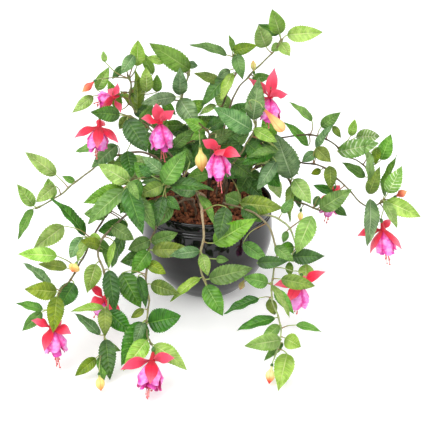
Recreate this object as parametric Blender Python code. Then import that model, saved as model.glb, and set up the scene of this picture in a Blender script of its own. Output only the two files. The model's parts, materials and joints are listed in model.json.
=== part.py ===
"""A glossy round cover pot that holds a trailing artificial fuchsia.

Units are metres unless a name or comment says mm, +Z is up, the origin is the middle of the pot's
flat foot and the front faces -Y. The pot and everything inside it are turned solids. Each stem is
one body with its leaves and twigs. A flower is a calyx and a corolla on one swinging pivot, and a
bud is a hanging drop. Flowers, buds and leaves slide along their line of sight, and leaves may
shrink, until they clear what moves separately, through the bends of stems and the swings of flowers.
"""
import bpy
import bmesh
import math
from collections import namedtuple
from mathutils import Vector, Matrix
from mathutils.bvhtree import BVHTree

for old in list(bpy.data.objects):
    bpy.data.objects.remove(old)

COLLECTION = bpy.context.scene.collection

# ---------------------------------------------------------------- driving sizes
POT_H = 0.1525            # height of the bowl
POT_R = 0.1012            # largest radius, two thirds of the way up
POT_LIP_R = 0.0990        # nominal radius of the rolled lip
POT_WALL = 0.0045
POT_MARGIN = 0.0018       # room kept round the bowl
GRAVEL_TOP = 0.1400
FLOOR_CLEAR = 0.0045      # lowest height that anything hanging may reach
STEM_ROOT_Z = 0.1389
STEM_STEP = 0.026         # spacing of the rings along a stem
STEM_R = 0.0017           # stem at the root
STEM_TIP_R = 0.0010
STEM_MARGIN = 0.0008      # growth of each kind of body in the clearance tests
HANGING_MARGIN = 0.0006
LEAF_MARGIN = 0.0007
LEAF_T = 0.00045          # height of a leaf's midrib above its middle plane
LEAF_LOW = 0.0065         # lowest height of a leaf's base or tip
LEAF_LONGEST = 0.082
PETIOLE_LONGEST = 0.068
SEPAL_LOW = 0.0070
STAMEN_LOW = 0.006

# ---------------------------------------------------------------- the viewing pane
# The foliage is set out on an upright-edged pane, square to the gaze of an eye in front of the
# pot that looks down by 25 degrees. A place is (across, down, depth) in mm: across and down
# from the pane's top left corner, and depth is the world Y of the point seen through it.
PANE_DISTANCE = 1065.0            # from the eye, mm
PANE_CENTRE = (215.0, 215.0)      # where the gaze meets the pane, mm
LOOK = math.radians(25.0)
EYE = Vector((0.0124, -1.4954, 0.8198))
RIGHT = Vector((1.0, 0.0, 0.0))
AHEAD = Vector((0.0, math.cos(LOOK), -math.sin(LOOK)))
UPWARD = Vector((0.0, math.sin(LOOK), math.cos(LOOK)))


def turned(point, degrees):
    """The point swung round the pot's axis."""
    return Matrix.Rotation(math.radians(degrees), 3, "Z") @ point


def place(across, down, depth, turn):
    """World point of a place on the pane, swung round the pot's axis by turn degrees."""
    ray = (AHEAD * PANE_DISTANCE + RIGHT * (across - PANE_CENTRE[0])
           + UPWARD * (PANE_CENTRE[1] - down))
    reach = (depth / 1000.0 - EYE.y) / ray.y
    return turned(EYE + ray * reach, turn)


# ---------------------------------------------------------------- tables
# azimuth in degrees and ring radius in mm place the root; turn in degrees swings the whole stem
# places: (across, down, depth)
# leaves: (base across, base down, tip across, tip down, width,
#          base depth from the stem's, tip depth from the base's)
Stem = namedtuple("Stem", "name azimuth ring turn places leaves")

STEMS = [
    Stem("stem_left_upper", 172, 44, 0,
         [(168, 166, 12), (142, 152, 8), (123, 155, 4), (112, 156, 0), (100, 163, -5),
          (90, 171, -10), (73, 184, -18), (60, 195, -22), (50, 201, -25), (37, 208, -30)],
         [(56, 175, 25, 152, 15, 6, 4), (51, 199, 48, 178, 14, 4, 6),
          (55, 186, 36, 202, 13, -8, -12), (34, 206, 17, 184, 13, 2, 8),
          (33, 209, 18, 240, 9, -2, -14), (117, 145, 91, 168, 16, -10, -16),
          (97, 146, 75, 152, 8, 8, 10), (110, 157, 113, 170, 8, 6, 10),
          (75, 182, 62, 176, 7, 6, 8), (160, 162, 140, 176, 16, -4, -10),
          (153, 157, 159, 138, 15, 4, 8), (132, 154, 112, 176, 16, -4, -10)]),
    Stem("stem_left_lower", 198, 42, 0,
         [(172, 190, -32), (146, 186, -66), (122, 198, -92), (107, 215, -102), (100, 225, -107),
          (93, 237, -113), (87, 250, -124), (80, 263, -140), (71, 279, -166), (60, 291, -194),
          (57, 301, -214), (56, 310, -232)],
         [(85, 236, 51, 198, 11, 8, 26), (64, 226, 33, 249, 18, -2, -10),
          (57, 256, 17, 254, 15, -4, -8), (67, 268, 38, 264, 11, 4, 10),
          (82, 237, 70, 258, 14, -10, -14), (88, 238, 77, 262, 9, -16, -14),
          (50, 286, 23, 263, 9, 6, 20), (57, 292, 24, 289, 18, -6, -10),
          (74, 283, 60, 307, 19, -6, -12), (57, 296, 53, 333, 17, -26, -22),
          (43, 310, 16, 303, 9, 4, 8), (42, 312, 22, 331, 12, -2, -6),
          (90, 236, 102, 241, 10, -6, -8), (128, 225, 98, 231, 18, -16, -4),
          (127, 229, 112, 268, 12, 2, -10), (146, 187, 124, 206, 17, -4, -10),
          (118, 200, 140, 214, 16, -4, -10), (109, 212, 84, 214, 15, 2, -6),
          (91, 240, 112, 252, 13, -2, -8)]),
    Stem("stem_front_left", 226, 46, 0,
         [(184, 196, -48), (156, 200, -82), (128, 214, -104), (108, 232, -118), (100, 243, -127),
          (98, 255, -138), (104, 272, -152), (108, 300, -188), (105, 328, -222),
          (104, 344, -242), (101, 355, -256)],
         [(96, 264, 87, 293, 17, -8, -12), (102, 249, 109, 269, 6, 4, 4),
          (115, 243, 109, 268, 7, -6, -8), (109, 270, 115, 312, 17, -14, -26),
          (104, 308, 70, 312, 8, -6, -12), (100, 335, 74, 313, 10, 2, 16),
          (105, 308, 105, 337, 14, -16, -18), (108, 311, 131, 333, 18, -4, -14),
          (106, 339, 110, 381, 17, -8, -38), (99, 357, 104, 389, 9, -6, -36),
          (96, 358, 75, 376, 12, -4, -20), (103, 344, 121, 351, 9, 4, -6),
          (156, 201, 140, 222, 16, -4, -12), (140, 206, 164, 216, 15, -2, -4),
          (112, 226, 134, 240, 15, -4, -10), (100, 245, 80, 240, 12, 2, 0)]),
    Stem("stem_front_left_centre", 248, 44, 0,
         [(193, 199, -46), (176, 204, -76), (160, 221, -98), (150, 243, -110), (147, 266, -126),
          (146, 283, -146), (149, 299, -172), (147, 318, -206), (147, 334, -238),
          (151, 344, -264)],
         [(151, 242, 178, 233, 14, -4, 8), (152, 250, 190, 249, 16, -6, -6),
          (149, 251, 131, 275, 17, -6, -10), (122, 273, 141, 308, 22, -10, -24),
          (138, 276, 146, 309, 10, -22, -14), (151, 284, 180, 294, 15, -4, -12),
          (148, 323, 181, 316, 24, -6, -12), (144, 322, 121, 366, 24, -8, -40),
          (143, 322, 134, 345, 11, -22, -14), (147, 340, 123, 371, 18, -12, -36),
          (154, 345, 187, 370, 17, -6, -30), (144, 309, 131, 318, 8, 2, -4),
          (172, 205, 152, 228, 15, -8, -12), (150, 240, 128, 250, 15, -2, -6),
          (147, 262, 166, 274, 12, -2, -6), (148, 256, 120, 262, 18, 4, -4)]),
    Stem("stem_front_centre", 262, 30, 0,
         [(205, 197, -36), (198, 193, -48), (200, 201, -74), (202, 212, -99), (203, 225, -117),
          (204, 236, -125), (201, 250, -134), (200, 262, -142), (202, 274, -150),
          (206, 284, -160)],
         [(196, 191, 166, 189, 16, -4, -10), (199, 195, 214, 225, 9, -10, -38),
          (200, 251, 169, 256, 12, -2, -4), (202, 254, 208, 276, 12, -10, -12),
          (200, 278, 170, 302, 9, -4, -12), (206, 285, 223, 316, 19, -6, -22),
          (214, 243, 257, 218, 22, -10, -4), (209, 279, 253, 268, 19, -8, -12),
          (216, 259, 229, 260, 8, 2, 0), (226, 207, 218, 240, 18, -28, -24)]),
    Stem("stem_front_right", 300, 44, 0,
         [(226, 204, -52), (242, 208, -78), (254, 213, -94), (264, 221, -104), (271, 230, -112),
          (274, 242, -121), (277, 252, -130), (274, 270, -148), (272, 284, -164),
          (272, 300, -184), (278, 316, -204), (281, 330, -224), (279, 345, -244),
          (275, 356, -258)],
         [(243, 243, 268, 261, 14, -12, -12), (257, 263, 289, 261, 13, -8, -6),
          (268, 283, 243, 277, 15, -4, -4), (259, 298, 224, 314, 10, -6, -18),
          (281, 279, 315, 286, 15, -6, -8), (269, 299, 275, 315, 11, 6, -4),
          (275, 290, 294, 314, 12, -14, -20), (271, 285, 290, 318, 8, -26, -22),
          (275, 318, 236, 331, 11, -4, -22), (279, 325, 260, 343, 12, -2, -16),
          (281, 340, 244, 346, 17, -10, -24), (283, 343, 264, 361, 9, 4, -14),
          (285, 338, 301, 347, 16, -4, -8), (296, 325, 322, 332, 8, 2, -6),
          (287, 354, 278, 397, 20, -12, -46), (242, 208, 262, 222, 15, -4, -8),
          (275, 246, 294, 262, 12, -4, -6)]),
    Stem("stem_right_lower", 332, 46, 0,
         [(246, 205, -46), (255, 214, -66), (264, 215, -78), (275, 217, -84), (282, 221, -88),
          (288, 226, -92), (294, 238, -98), (297, 250, -102)],
         [(240, 203, 283, 208, 19, 0, -10), (282, 213, 293, 198, 9, 4, 10),
          (312, 216, 296, 254, 19, -12, -4), (294, 247, 277, 250, 13, 2, -2),
          (292, 257, 325, 256, 16, -6, -8), (287, 231, 283, 243, 7, 2, 0),
          (306, 264, 306, 281, 15, 6, 2), (289, 262, 290, 277, 8, 10, 2)]),
    Stem("stem_right_middle", 8, 46, 0,
         [(238, 184, -4), (256, 167, -4), (275, 168, -8), (291, 183, -14), (293, 199, -18),
          (307, 205, -22), (319, 210, -25)],
         [(292, 178, 276, 134, 26, -10, 8), (294, 179, 311, 204, 17, -12, -18),
          (293, 184, 290, 222, 9, -8, -16), (296, 190, 300, 208, 8, 4, -4),
          (333, 192, 313, 185, 9, 10, 6), (319, 196, 314, 208, 8, 8, 2),
          (244, 179, 263, 198, 16, -4, -10), (252, 170, 234, 159, 15, 4, 6),
          (262, 167, 280, 187, 17, -6, -12), (249, 174, 238, 193, 15, -8, -10)]),
    Stem("stem_right_long", 24, 40, 0,
         [(238, 176, 22), (262, 160, 26), (285, 158, 22), (303, 163, 16), (315, 164, 11),
          (326, 169, 5), (334, 176, 0), (343, 184, -5), (352, 193, -11), (362, 204, -18),
          (372, 207, -22), (384, 200, -24)],
         [(316, 148, 331, 162, 14, 6, -6), (315, 152, 302, 162, 10, 6, -4),
          (321, 170, 311, 174, 7, 4, 0), (330, 166, 331, 191, 13, -4, -12),
          (320, 209, 352, 189, 18, -26, 2), (335, 207, 347, 216, 9, -6, -4),
          (370, 199, 367, 247, 15, -6, -14), (386, 201, 421, 217, 17, -6, -10),
          (384, 201, 397, 228, 10, -12, -18), (384, 196, 397, 155, 9, 2, 10),
          (388, 193, 402, 166, 16, -8, 2), (246, 172, 264, 187, 17, -4, -10),
          (257, 163, 249, 145, 15, 4, 8), (269, 160, 290, 173, 15, -4, -8),
          (282, 158, 273, 178, 15, -4, -8)]),
    Stem("stem_right_upper", 48, 46, 0,
         [(240, 162, 52), (262, 143, 56), (287, 137, 52), (300, 135, 48), (318, 136, 44),
          (334, 144, 40), (346, 156, 37), (358, 161, 35), (366, 168, 33), (370, 181, 30)],
         [(312, 121, 289, 102, 8, 4, 8), (321, 127, 341, 112, 12, -4, 4),
          (316, 149, 335, 123, 8, -14, -6), (333, 126, 341, 138, 7, 6, 0),
          (308, 146, 284, 122, 9, 4, 10), (351, 136, 355, 119, 9, 6, 8),
          (356, 137, 380, 136, 15, 2, -2), (338, 152, 379, 143, 18, -12, -14),
          (381, 160, 391, 134, 15, 4, 8), (377, 147, 375, 165, 9, 2, -2),
          (369, 180, 364, 144, 9, -10, -8), (365, 177, 341, 162, 10, -2, 4),
          (369, 194, 380, 166, 13, -6, 2), (245, 158, 227, 143, 16, 2, 4),
          (252, 151, 261, 127, 16, 4, 8), (263, 143, 286, 158, 17, -4, -8),
          (273, 140, 263, 117, 15, 4, 8), (240, 163, 224, 179, 16, 0, -8)]),
    Stem("stem_top_right", 62, 30, 0,
         [(217, 168, 30), (226, 120, 30), (236, 92, 28), (250, 75, 24), (263, 62, 20),
          (275, 50, 17), (282, 40, 14)],
         [(252, 79, 271, 76, 10, 4, 0), (266, 47, 258, 25, 18, -4, -4),
          (279, 34, 258, 24, 10, 4, 10), (280, 34, 272, 9, 16, -4, 2),
          (287, 35, 323, 32, 16, -2, -8), (281, 43, 290, 56, 12, -4, -8),
          (280, 44, 271, 51, 9, 2, 0), (228, 118, 250, 103, 16, 4, 6),
          (224, 128, 199, 117, 16, 4, 4), (222, 140, 247, 129, 17, 6, 2),
          (219, 151, 196, 141, 16, 6, 0), (218, 160, 241, 153, 16, 4, -2),
          (230, 108, 214, 92, 14, 4, 8)]),
    Stem("stem_top_centre", 80, 12, 0,
         [(209, 172, 2), (213, 140, -2), (220, 112, -8), (231, 84, -14), (236, 72, -16),
          (234, 56, -18)],
         [(227, 55, 189, 45, 9, 0, -8), (234, 52, 229, 35, 6, 2, 4),
          (233, 51, 258, 45, 12, -4, -8), (236, 54, 243, 80, 13, -10, -16),
          (230, 70, 217, 78, 9, 4, 2), (233, 73, 221, 102, 10, -12, -18),
          (220, 82, 194, 73, 10, 6, 4), (226, 77, 201, 107, 13, 2, -4),
          (216, 105, 199, 115, 7, -6, -6)]),
    Stem("stem_top_right_centre", 345, 26, 0,
         [(228, 172, -26), (243, 150, -40), (254, 131, -50), (256, 123, -54)],
         [(252, 130, 213, 107, 21, -10, -14), (253, 120, 259, 77, 19, -4, 6),
          (254, 129, 277, 142, 12, -8, -14), (276, 150, 241, 165, 14, 4, -12),
          (276, 161, 257, 190, 14, -6, -14), (278, 150, 248, 157, 9, -12, -14),
          (240, 203, 225, 195, 18, -26, -6), (241, 153, 222, 146, 15, 4, 2),
          (247, 143, 264, 158, 16, -2, -8), (234, 163, 252, 177, 16, -4, -10)]),
    Stem("stem_top_left", 122, 28, 0,
         [(200, 165, 14), (190, 130, 6), (182, 100, 0), (186, 84, 0), (189, 72, 0)],
         [(190, 70, 149, 43, 20, 0, -6), (176, 97, 141, 104, 13, -26, -14),
          (180, 95, 180, 67, 15, -10, -6), (180, 99, 198, 128, 20, -14, -20),
          (183, 125, 157, 126, 11, -4, -6), (163, 103, 176, 115, 10, 2, -2),
          (174, 147, 194, 128, 12, -16, -4), (165, 62, 147, 57, 9, 12, 10),
          (188, 64, 198, 66, 8, 6, 8), (197, 155, 219, 141, 16, 6, 4),
          (195, 147, 170, 157, 17, 4, -2), (191, 135, 167, 126, 16, 6, 2),
          (189, 128, 211, 117, 15, 8, 6), (186, 113, 206, 100, 15, 6, 8),
          (194, 142, 211, 161, 16, -6, -10), (197, 152, 182, 172, 15, -8, -12)]),
    Stem("stem_upper_left", 150, 46, 0,
         [(186, 168, 38), (162, 137, 42), (148, 123, 38), (139, 116, 35), (130, 101, 31),
          (131, 84, 28), (128, 76, 26)],
         [(93, 96, 72, 113, 11, -6, -8), (97, 90, 109, 67, 12, 2, 4),
          (119, 110, 108, 80, 12, 4, 12), (123, 66, 112, 79, 8, 6, 0),
          (134, 55, 121, 74, 12, -6, -10), (137, 66, 138, 40, 15, 0, 6),
          (153, 74, 139, 50, 10, 6, 8), (137, 110, 135, 69, 11, -10, -2),
          (147, 92, 146, 67, 13, -6, 2), (157, 92, 157, 74, 10, 4, 4),
          (137, 109, 120, 91, 8, 8, 10), (105, 62, 103, 51, 6, 2, 2),
          (176, 155, 151, 161, 17, 4, -2), (165, 141, 143, 147, 16, 2, -2),
          (156, 131, 166, 112, 15, 6, 6), (149, 124, 128, 134, 15, 4, -4),
          (143, 119, 151, 98, 14, 6, 8), (172, 150, 190, 136, 15, 4, 4),
          (134, 108, 152, 117, 13, 4, -2), (131, 96, 148, 84, 12, 6, 6)]),
    Stem("stem_left_crown", 186, 28, 0,
         [(182, 170, -10), (163, 146, -18), (150, 129, -26), (140, 121, -32), (128, 116, -36)],
         [(120, 115, 90, 112, 16, -16, -12), (128, 117, 119, 129, 11, 4, 0),
          (127, 119, 147, 152, 22, -14, -20), (127, 151, 132, 178, 16, -8, -14),
          (140, 122, 152, 106, 9, 6, 4), (176, 162, 157, 173, 16, -2, -8),
          (168, 152, 189, 149, 15, 6, 4), (158, 140, 167, 120, 15, 6, 8)]),
    Stem("stem_left_middle", 214, 28, 0,
         [(186, 185, -34), (162, 177, -60), (142, 178, -80), (127, 184, -94)],
         [(129, 182, 98, 164, 18, -4, 4), (124, 188, 83, 203, 18, -4, -8),
          (124, 190, 88, 224, 18, -16, -14), (127, 187, 143, 235, 20, -16, -26),
          (129, 181, 139, 200, 9, -26, -14), (138, 197, 155, 231, 14, -20, -18),
          (170, 180, 150, 196, 16, -4, -10), (150, 178, 134, 162, 16, 4, 8),
          (140, 180, 120, 214, 18, -14, -16)]),
    Stem("stem_centre_left", 236, 22, 0,
         [(193, 190, -40), (179, 181, -60), (166, 184, -80)],
         [(163, 196, 157, 228, 12, -14, -26), (163, 185, 137, 196, 15, -8, -8),
          (163, 182, 140, 183, 8, 4, -2), (163, 184, 186, 150, 20, -8, 6),
          (163, 173, 142, 156, 13, 4, 10), (152, 176, 138, 165, 10, 12, 8),
          (166, 197, 180, 210, 10, -10, -14), (169, 184, 214, 190, 13, -6, -10),
          (190, 162, 184, 147, 10, 16, 10)]),
    Stem("stem_centre", 275, 12, 0,
         [(209, 178, -28), (211, 150, -44), (208, 132, -58), (200, 124, -66)],
         [(205, 131, 190, 140, 9, 4, -4), (210, 128, 226, 118, 12, 6, 10),
          (212, 146, 240, 143, 12, 14, 8), (216, 168, 240, 178, 14, 6, -14),
          (214, 160, 236, 160, 11, 22, 4), (209, 173, 187, 177, 15, -2, -4),
          (210, 165, 233, 171, 16, 4, -2), (211, 154, 189, 160, 14, 10, 2),
          (209, 140, 233, 131, 15, 8, 8), (206, 130, 184, 119, 14, 6, 10)]),
    Stem("stem_rear_left", 285, 46, 180,
         [(232, 200, -56), (250, 196, -84), (266, 208, -110), (274, 226, -126), (280, 250, -150),
          (276, 274, -170), (270, 296, -186)],
         [(232, 186, 214, 168, 16, -6, 10), (262, 202, 296, 196, 18, -6, -6),
          (268, 212, 244, 232, 17, -8, -12), (276, 232, 306, 246, 18, -6, -10),
          (280, 250, 250, 262, 17, -8, -8), (279, 258, 304, 282, 17, -8, -14),
          (275, 276, 246, 292, 16, -6, -12), (271, 294, 276, 326, 18, -8, -16),
          (258, 184, 284, 168, 15, 4, 8)]),
    Stem("stem_rear", 265, 44, 180,
         [(205, 196, -56), (206, 188, -86), (204, 200, -112), (200, 222, -132), (196, 246, -152),
          (198, 268, -168)],
         [(206, 188, 236, 172, 17, -4, 4), (205, 190, 180, 176, 17, -4, 4),
          (204, 202, 226, 224, 17, -10, -12), (202, 212, 172, 226, 18, -8, -10),
          (199, 232, 226, 250, 16, -8, -10), (197, 246, 170, 262, 16, -6, -10),
          (198, 264, 208, 298, 18, -8, -16)]),
    Stem("stem_rear_right", 238, 46, 180,
         [(180, 194, -56), (160, 190, -84), (144, 202, -108), (134, 222, -124), (126, 244, -144),
          (124, 266, -166), (128, 286, -184)],
         [(176, 184, 160, 160, 17, -4, 10), (158, 192, 128, 180, 18, -6, 2),
          (146, 202, 164, 226, 17, -8, -12), (137, 218, 106, 222, 18, -8, -8),
          (130, 234, 152, 254, 17, -8, -12), (125, 252, 96, 268, 17, -6, -12),
          (126, 276, 148, 298, 17, -8, -12), (128, 285, 116, 316, 17, -6, -14)]),
]
STEM_NAMED = {stem.name: stem for stem in STEMS}

# socket, neck and tip (of the stamens) are places; sepals: (across, down, depth from the neck's);
# size scales the parts; swing is in degrees either way
Flower = namedtuple("Flower", "name stem socket neck tip size sepals swing")

FLOWERS = [
    Flower("flower_left", "stem_left_lower", (54, 312, -238), (52, 328, -241), (59, 367, -258),
           1.02, [(31, 321, 2), (45, 352, -34), (71, 335, -18), (62, 322, 30)], 5),
    Flower("flower_front_left", "stem_front_left",
           (108, 288, -160), (104, 299, -164), (95, 317, -172),
           0.95, [(89, 286, 6), (90, 306, -26), (119, 318, -24), (117, 288, 14)], 5),
    Flower("flower_front_low", "stem_front_left_centre",
           (153, 347, -274), (152, 361, -294), (148, 398, -330),
           1.06, [(121, 371, -14), (150, 385, -43), (174, 360, -14), (160, 357, 22)], 4),
    Flower("flower_front_right", "stem_front_right",
           (292, 271, -138), (300, 285, -138), (296, 313, -142),
           1.05, [(326, 273, -8), (288, 303, -30), (274, 286, 4), (308, 278, 30)], 6),
    Flower("flower_right_middle", "stem_right_long", (335, 182, 10), (333, 195, 10), (326, 222, 8),
           0.9, [(349, 196, -6), (319, 205, -12), (340, 186, 26), (330, 212, -24)], 6),
    Flower("flower_right", "stem_right_long", (384, 209, -28), (383, 230, -30), (389, 264, -36),
           1.06, [(391, 220, 22), (401, 250, -14), (371, 254, -14), (358, 237, 6)], 8),
    Flower("flower_top_right", "stem_top_right_centre",
           (259, 88, -30), (270, 98, -36), (268, 127, -46),
           1.05, [(275, 69, -4), (288, 95, -30), (248, 80, 2), (262, 105, 26)], 5),
    Flower("flower_upper_left", "stem_top_left", (158, 104, -44), (160, 123, -48), (164, 161, -54),
           1.08, [(141, 120, -20), (156, 104, -16), (175, 112, -14), (166, 116, 26)], 6),
    Flower("flower_far_upper_left", "stem_upper_left", (122, 92, 14), (113, 98, 10), (95, 104, 2),
           0.9, [(120, 113, 2), (101, 107, -22), (117, 83, 6), (106, 90, 30)], 5),
    Flower("flower_left_crown", "stem_left_crown", (108, 112, -42), (99, 127, -46), (96, 158, -53),
           0.98, [(75, 139, -8), (97, 149, -32), (117, 144, -8), (104, 122, 30)], 6),
    Flower("flower_centre", "stem_centre", (216, 134, -78), (217, 151, -82), (221, 192, -88),
           1.08, [(202, 142, -28), (240, 158, -18), (223, 157, -38), (216, 146, 26)], 7),
    Flower("flower_rear", "stem_rear_left", (288, 262, -160), (289, 277, -162), (290, 311, -164),
           1.0, [(268, 281, -12), (294, 300, -30), (311, 284, -10), (286, 270, 28)], 8),
]

# radius in mm, swing in degrees either way
Bud = namedtuple("Bud", "name stem socket neck tip radius swing")

BUDS = [
    Bud("bud_left", "stem_left_lower", (82, 259, -148), (77, 262, -154), (72, 272, -168), 8.5, 6),
    Bud("bud_front_left", "stem_front_left",
        (100, 360, -266), (99, 373, -282), (101, 391, -306), 6.6, 5),
    Bud("bud_front_right", "stem_front_right",
        (274, 359, -264), (272, 364, -268), (269, 384, -290), 7.0, 5),
    Bud("bud_right_middle", "stem_right_middle",
        (303, 206, -30), (301, 209, -31), (300, 221, -33), 4.6, 8),
    Bud("bud_far_right", "stem_right_long",
        (390, 199, -22), (394, 197, -22), (407, 191, -20), 6.0, 8),
    Bud("bud_top", "stem_top_right", (254, 77, 18), (254, 74, 18), (253, 60, 18), 4.6, 6),
    Bud("bud_top_right", "stem_top_right_centre",
        (249, 101, -62), (263, 108, -66), (284, 131, -70), 8.2, 8),
    Bud("bud_upper_left", "stem_upper_left", (103, 79, 20), (96, 80, 18), (82, 92, 14), 5.6, 8),
    Bud("bud_centre", "stem_centre", (199, 131, -76), (200, 145, -77), (202, 172, -79), 9.6, 6),
]
ARCHED_BUD = "bud_top_right"      # its stalk rises in a fixed arch

# Stems that bend at the root: (stem, lowest, highest) in degrees; up and outward is positive
BENDS = [
    ("stem_left_upper", -3, 4), ("stem_left_lower", 0, 4), ("stem_front_left", 0, 4),
    ("stem_front_left_centre", 0, 4), ("stem_front_centre", 0, 4), ("stem_front_right", 0, 4),
    ("stem_right_long", -3, 4), ("stem_right_upper", -3, 4), ("stem_top_right", -4, 4),
    ("stem_rear_left", 0, 5), ("stem_rear_right", 0, 5), ("stem_rear", 0, 5),
]

# Placing tries, first choice first: depth shifts in mm of a hanging part, depth shifts in mm of
# a leaf's (base, tip), and leaf sizes
HANGING_TRIES = [0, -5, 5, -10, 10, -15, 15, -20, 20, -26, 26, -32, 32]
DEPTH_TRIES = [
    (0, 0), (0, -8), (0, 8), (-6, -6), (6, 6), (0, -16), (0, 16), (-12, -12), (12, 12),
    (-6, -20), (6, 20), (-6, 10), (6, -10), (-12, -26), (12, 26), (-20, -20), (20, 20),
    (0, -28), (0, 28), (-12, 8), (12, -8), (-28, -28), (28, 28), (-20, -36), (20, 36),
    (0, -40), (0, 40),
]
SIZE_TRIES = [1.0, 0.86, 0.72, 0.58]


# ---------------------------------------------------------------- curves and frames
def spline(points, step):
    """Catmull-Rom through the points, sampled about every step."""
    ends = [points[0] * 2 - points[1]] + points + [points[-1] * 2 - points[-2]]
    out = []
    for i in range(1, len(ends) - 2):
        p0, p1, p2, p3 = ends[i - 1:i + 3]
        count = max(1, int(round((p2 - p1).length / step)))
        for k in range(count):
            t = k / count
            out.append(0.5 * ((2 * p1) + (p2 - p0) * t + (2 * p0 - 5 * p1 + 4 * p2 - p3) * t * t
                              + (3 * p1 - p0 - 3 * p2 + p3) * t * t * t))
    out.append(points[-1].copy())
    return out


def perpendicular(direction):
    guide = Vector((0, 0, 1)) if abs(direction.z) < 0.9 else Vector((1, 0, 0))
    return (guide - direction * guide.dot(direction)).normalized()


def squared(side, direction):
    """The part of side at right angles to direction, not normalised."""
    return side - direction * side.dot(direction)


def frames(path):
    """A tangent and a side vector for each point of a path, carried along without twist."""
    tangents = []
    for i in range(len(path)):
        before, after = path[max(0, i - 1)], path[min(len(path) - 1, i + 1)]
        tangents.append((after - before).normalized())
    sides = [perpendicular(tangents[0])]
    for tangent in tangents[1:]:
        sides.append(squared(sides[-1], tangent).normalized())
    return tangents, sides


def stem_path(stem):
    """From the root up through the neck of the pot, then through the stem's places."""
    angle = math.radians(stem.azimuth + stem.turn)
    radius = stem.ring / 1000.0
    root = Vector((radius * math.cos(angle), radius * math.sin(angle), STEM_ROOT_Z))
    points = [root,
              root + Vector((root.x * 0.02, root.y * 0.02, 0.009)),
              root + Vector((root.x * 0.16, root.y * 0.16, 0.024))]
    points += [place(*p, stem.turn) for p in stem.places]
    return spline(points, STEM_STEP)


def pane_nearest(stem, path, across, down, order):
    """The stem's point that looks nearest to a place on the pane; order keeps neighbours apart."""

    def on_pane(point):
        ray = turned(point, -stem.turn) - EYE
        depth = ray.dot(AHEAD)
        return Vector((PANE_CENTRE[0] + PANE_DISTANCE * ray.dot(RIGHT) / depth,
                       PANE_CENTRE[1] - PANE_DISTANCE * ray.dot(UPWARD) / depth))

    aim = Vector((across, down))
    best = (1e9, 0, 0.0)
    for i in range(4, len(path) - 1):
        start, end = on_pane(path[i]), on_pane(path[i + 1])
        run = end - start
        t = max(0.0, min(1.0, (aim - start).dot(run) / max(run.length_squared, 1e-9)))
        miss = (start + run * t - aim).length_squared
        if miss < best[0]:
            best = (miss, i, t)
    _, i, t = best
    span = (path[i + 1] - path[i]).length
    along = t * span + ((order * 3) % 7 - 3) * 0.0006
    end_room = 0.0022 + (order % 3) * 0.0012 if i == len(path) - 2 else 0.0006
    along = max(0.0006, min(span - end_room, along))
    return path[i].lerp(path[i + 1], along / span)


# ---------------------------------------------------------------- solids as (points, faces)
def facing_out(verts, faces):
    volume = 0.0
    for face in faces:
        for i in range(1, len(face) - 1):
            a, b, c = verts[face[0]], verts[face[i]], verts[face[i + 1]]
            volume += a.dot(b.cross(c))
    return verts, faces if volume > 0 else [tuple(reversed(face)) for face in faces]


def skin(rings, tip=None):
    """A closed solid through rings of equal length, capped, or ending in a point."""
    verts = [p for ring in rings for p in ring]
    count = len(rings[0])
    faces = [tuple(range(count - 1, -1, -1))]
    for k in range(len(rings) - 1):
        low, high = k * count, (k + 1) * count
        for i in range(count):
            j = (i + 1) % count
            faces.append((low + i, low + j, high + j, high + i))
    last = (len(rings) - 1) * count
    if tip is None:
        faces.append(tuple(last + i for i in range(count)))
    else:
        verts.append(tip)
        for i in range(count):
            faces.append((last + i, last + (i + 1) % count, len(verts) - 1))
    return facing_out(verts, faces)


def circle(centre, side, other, radius, count):
    angles = [2 * math.pi * i / count for i in range(count)]
    return [centre + (side * math.cos(a) + other * math.sin(a)) * radius for a in angles]


def tube(path, radii, count, first=None, last=None, grow=0.0):
    """A round bar along a path; first and last override the end tangents."""
    tangents, sides = frames(path)
    if first is not None:
        tangents[0] = first
    if last is not None:
        tangents[-1] = last
    rings = []
    for point, tangent, side, radius in zip(path, tangents, sides, radii):
        side = squared(side, tangent).normalized()
        rings.append(circle(point, side, tangent.cross(side), radius + grow, count))
    return skin(rings)


def stem_solid(path, count, grow=0.0):
    last = len(path) - 1
    radii = [STEM_R + (STEM_TIP_R - STEM_R) * (i / last) for i in range(last + 1)]
    return tube(path, radii, count, first=Vector((0, 0, 1)), grow=grow)


def twig_solid(hold, socket, toward, grow=0.0):
    """The side twig from the stem to a hair's breadth short of the socket."""
    end = socket - toward * 0.0008
    knee = socket - toward * 0.0050
    path = [hold, knee, end] if (knee - hold).length > 0.003 else [hold, end]
    return tube(path, [0.0005] + [0.0010] * (len(path) - 1), 3, last=toward, grow=grow)


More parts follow.
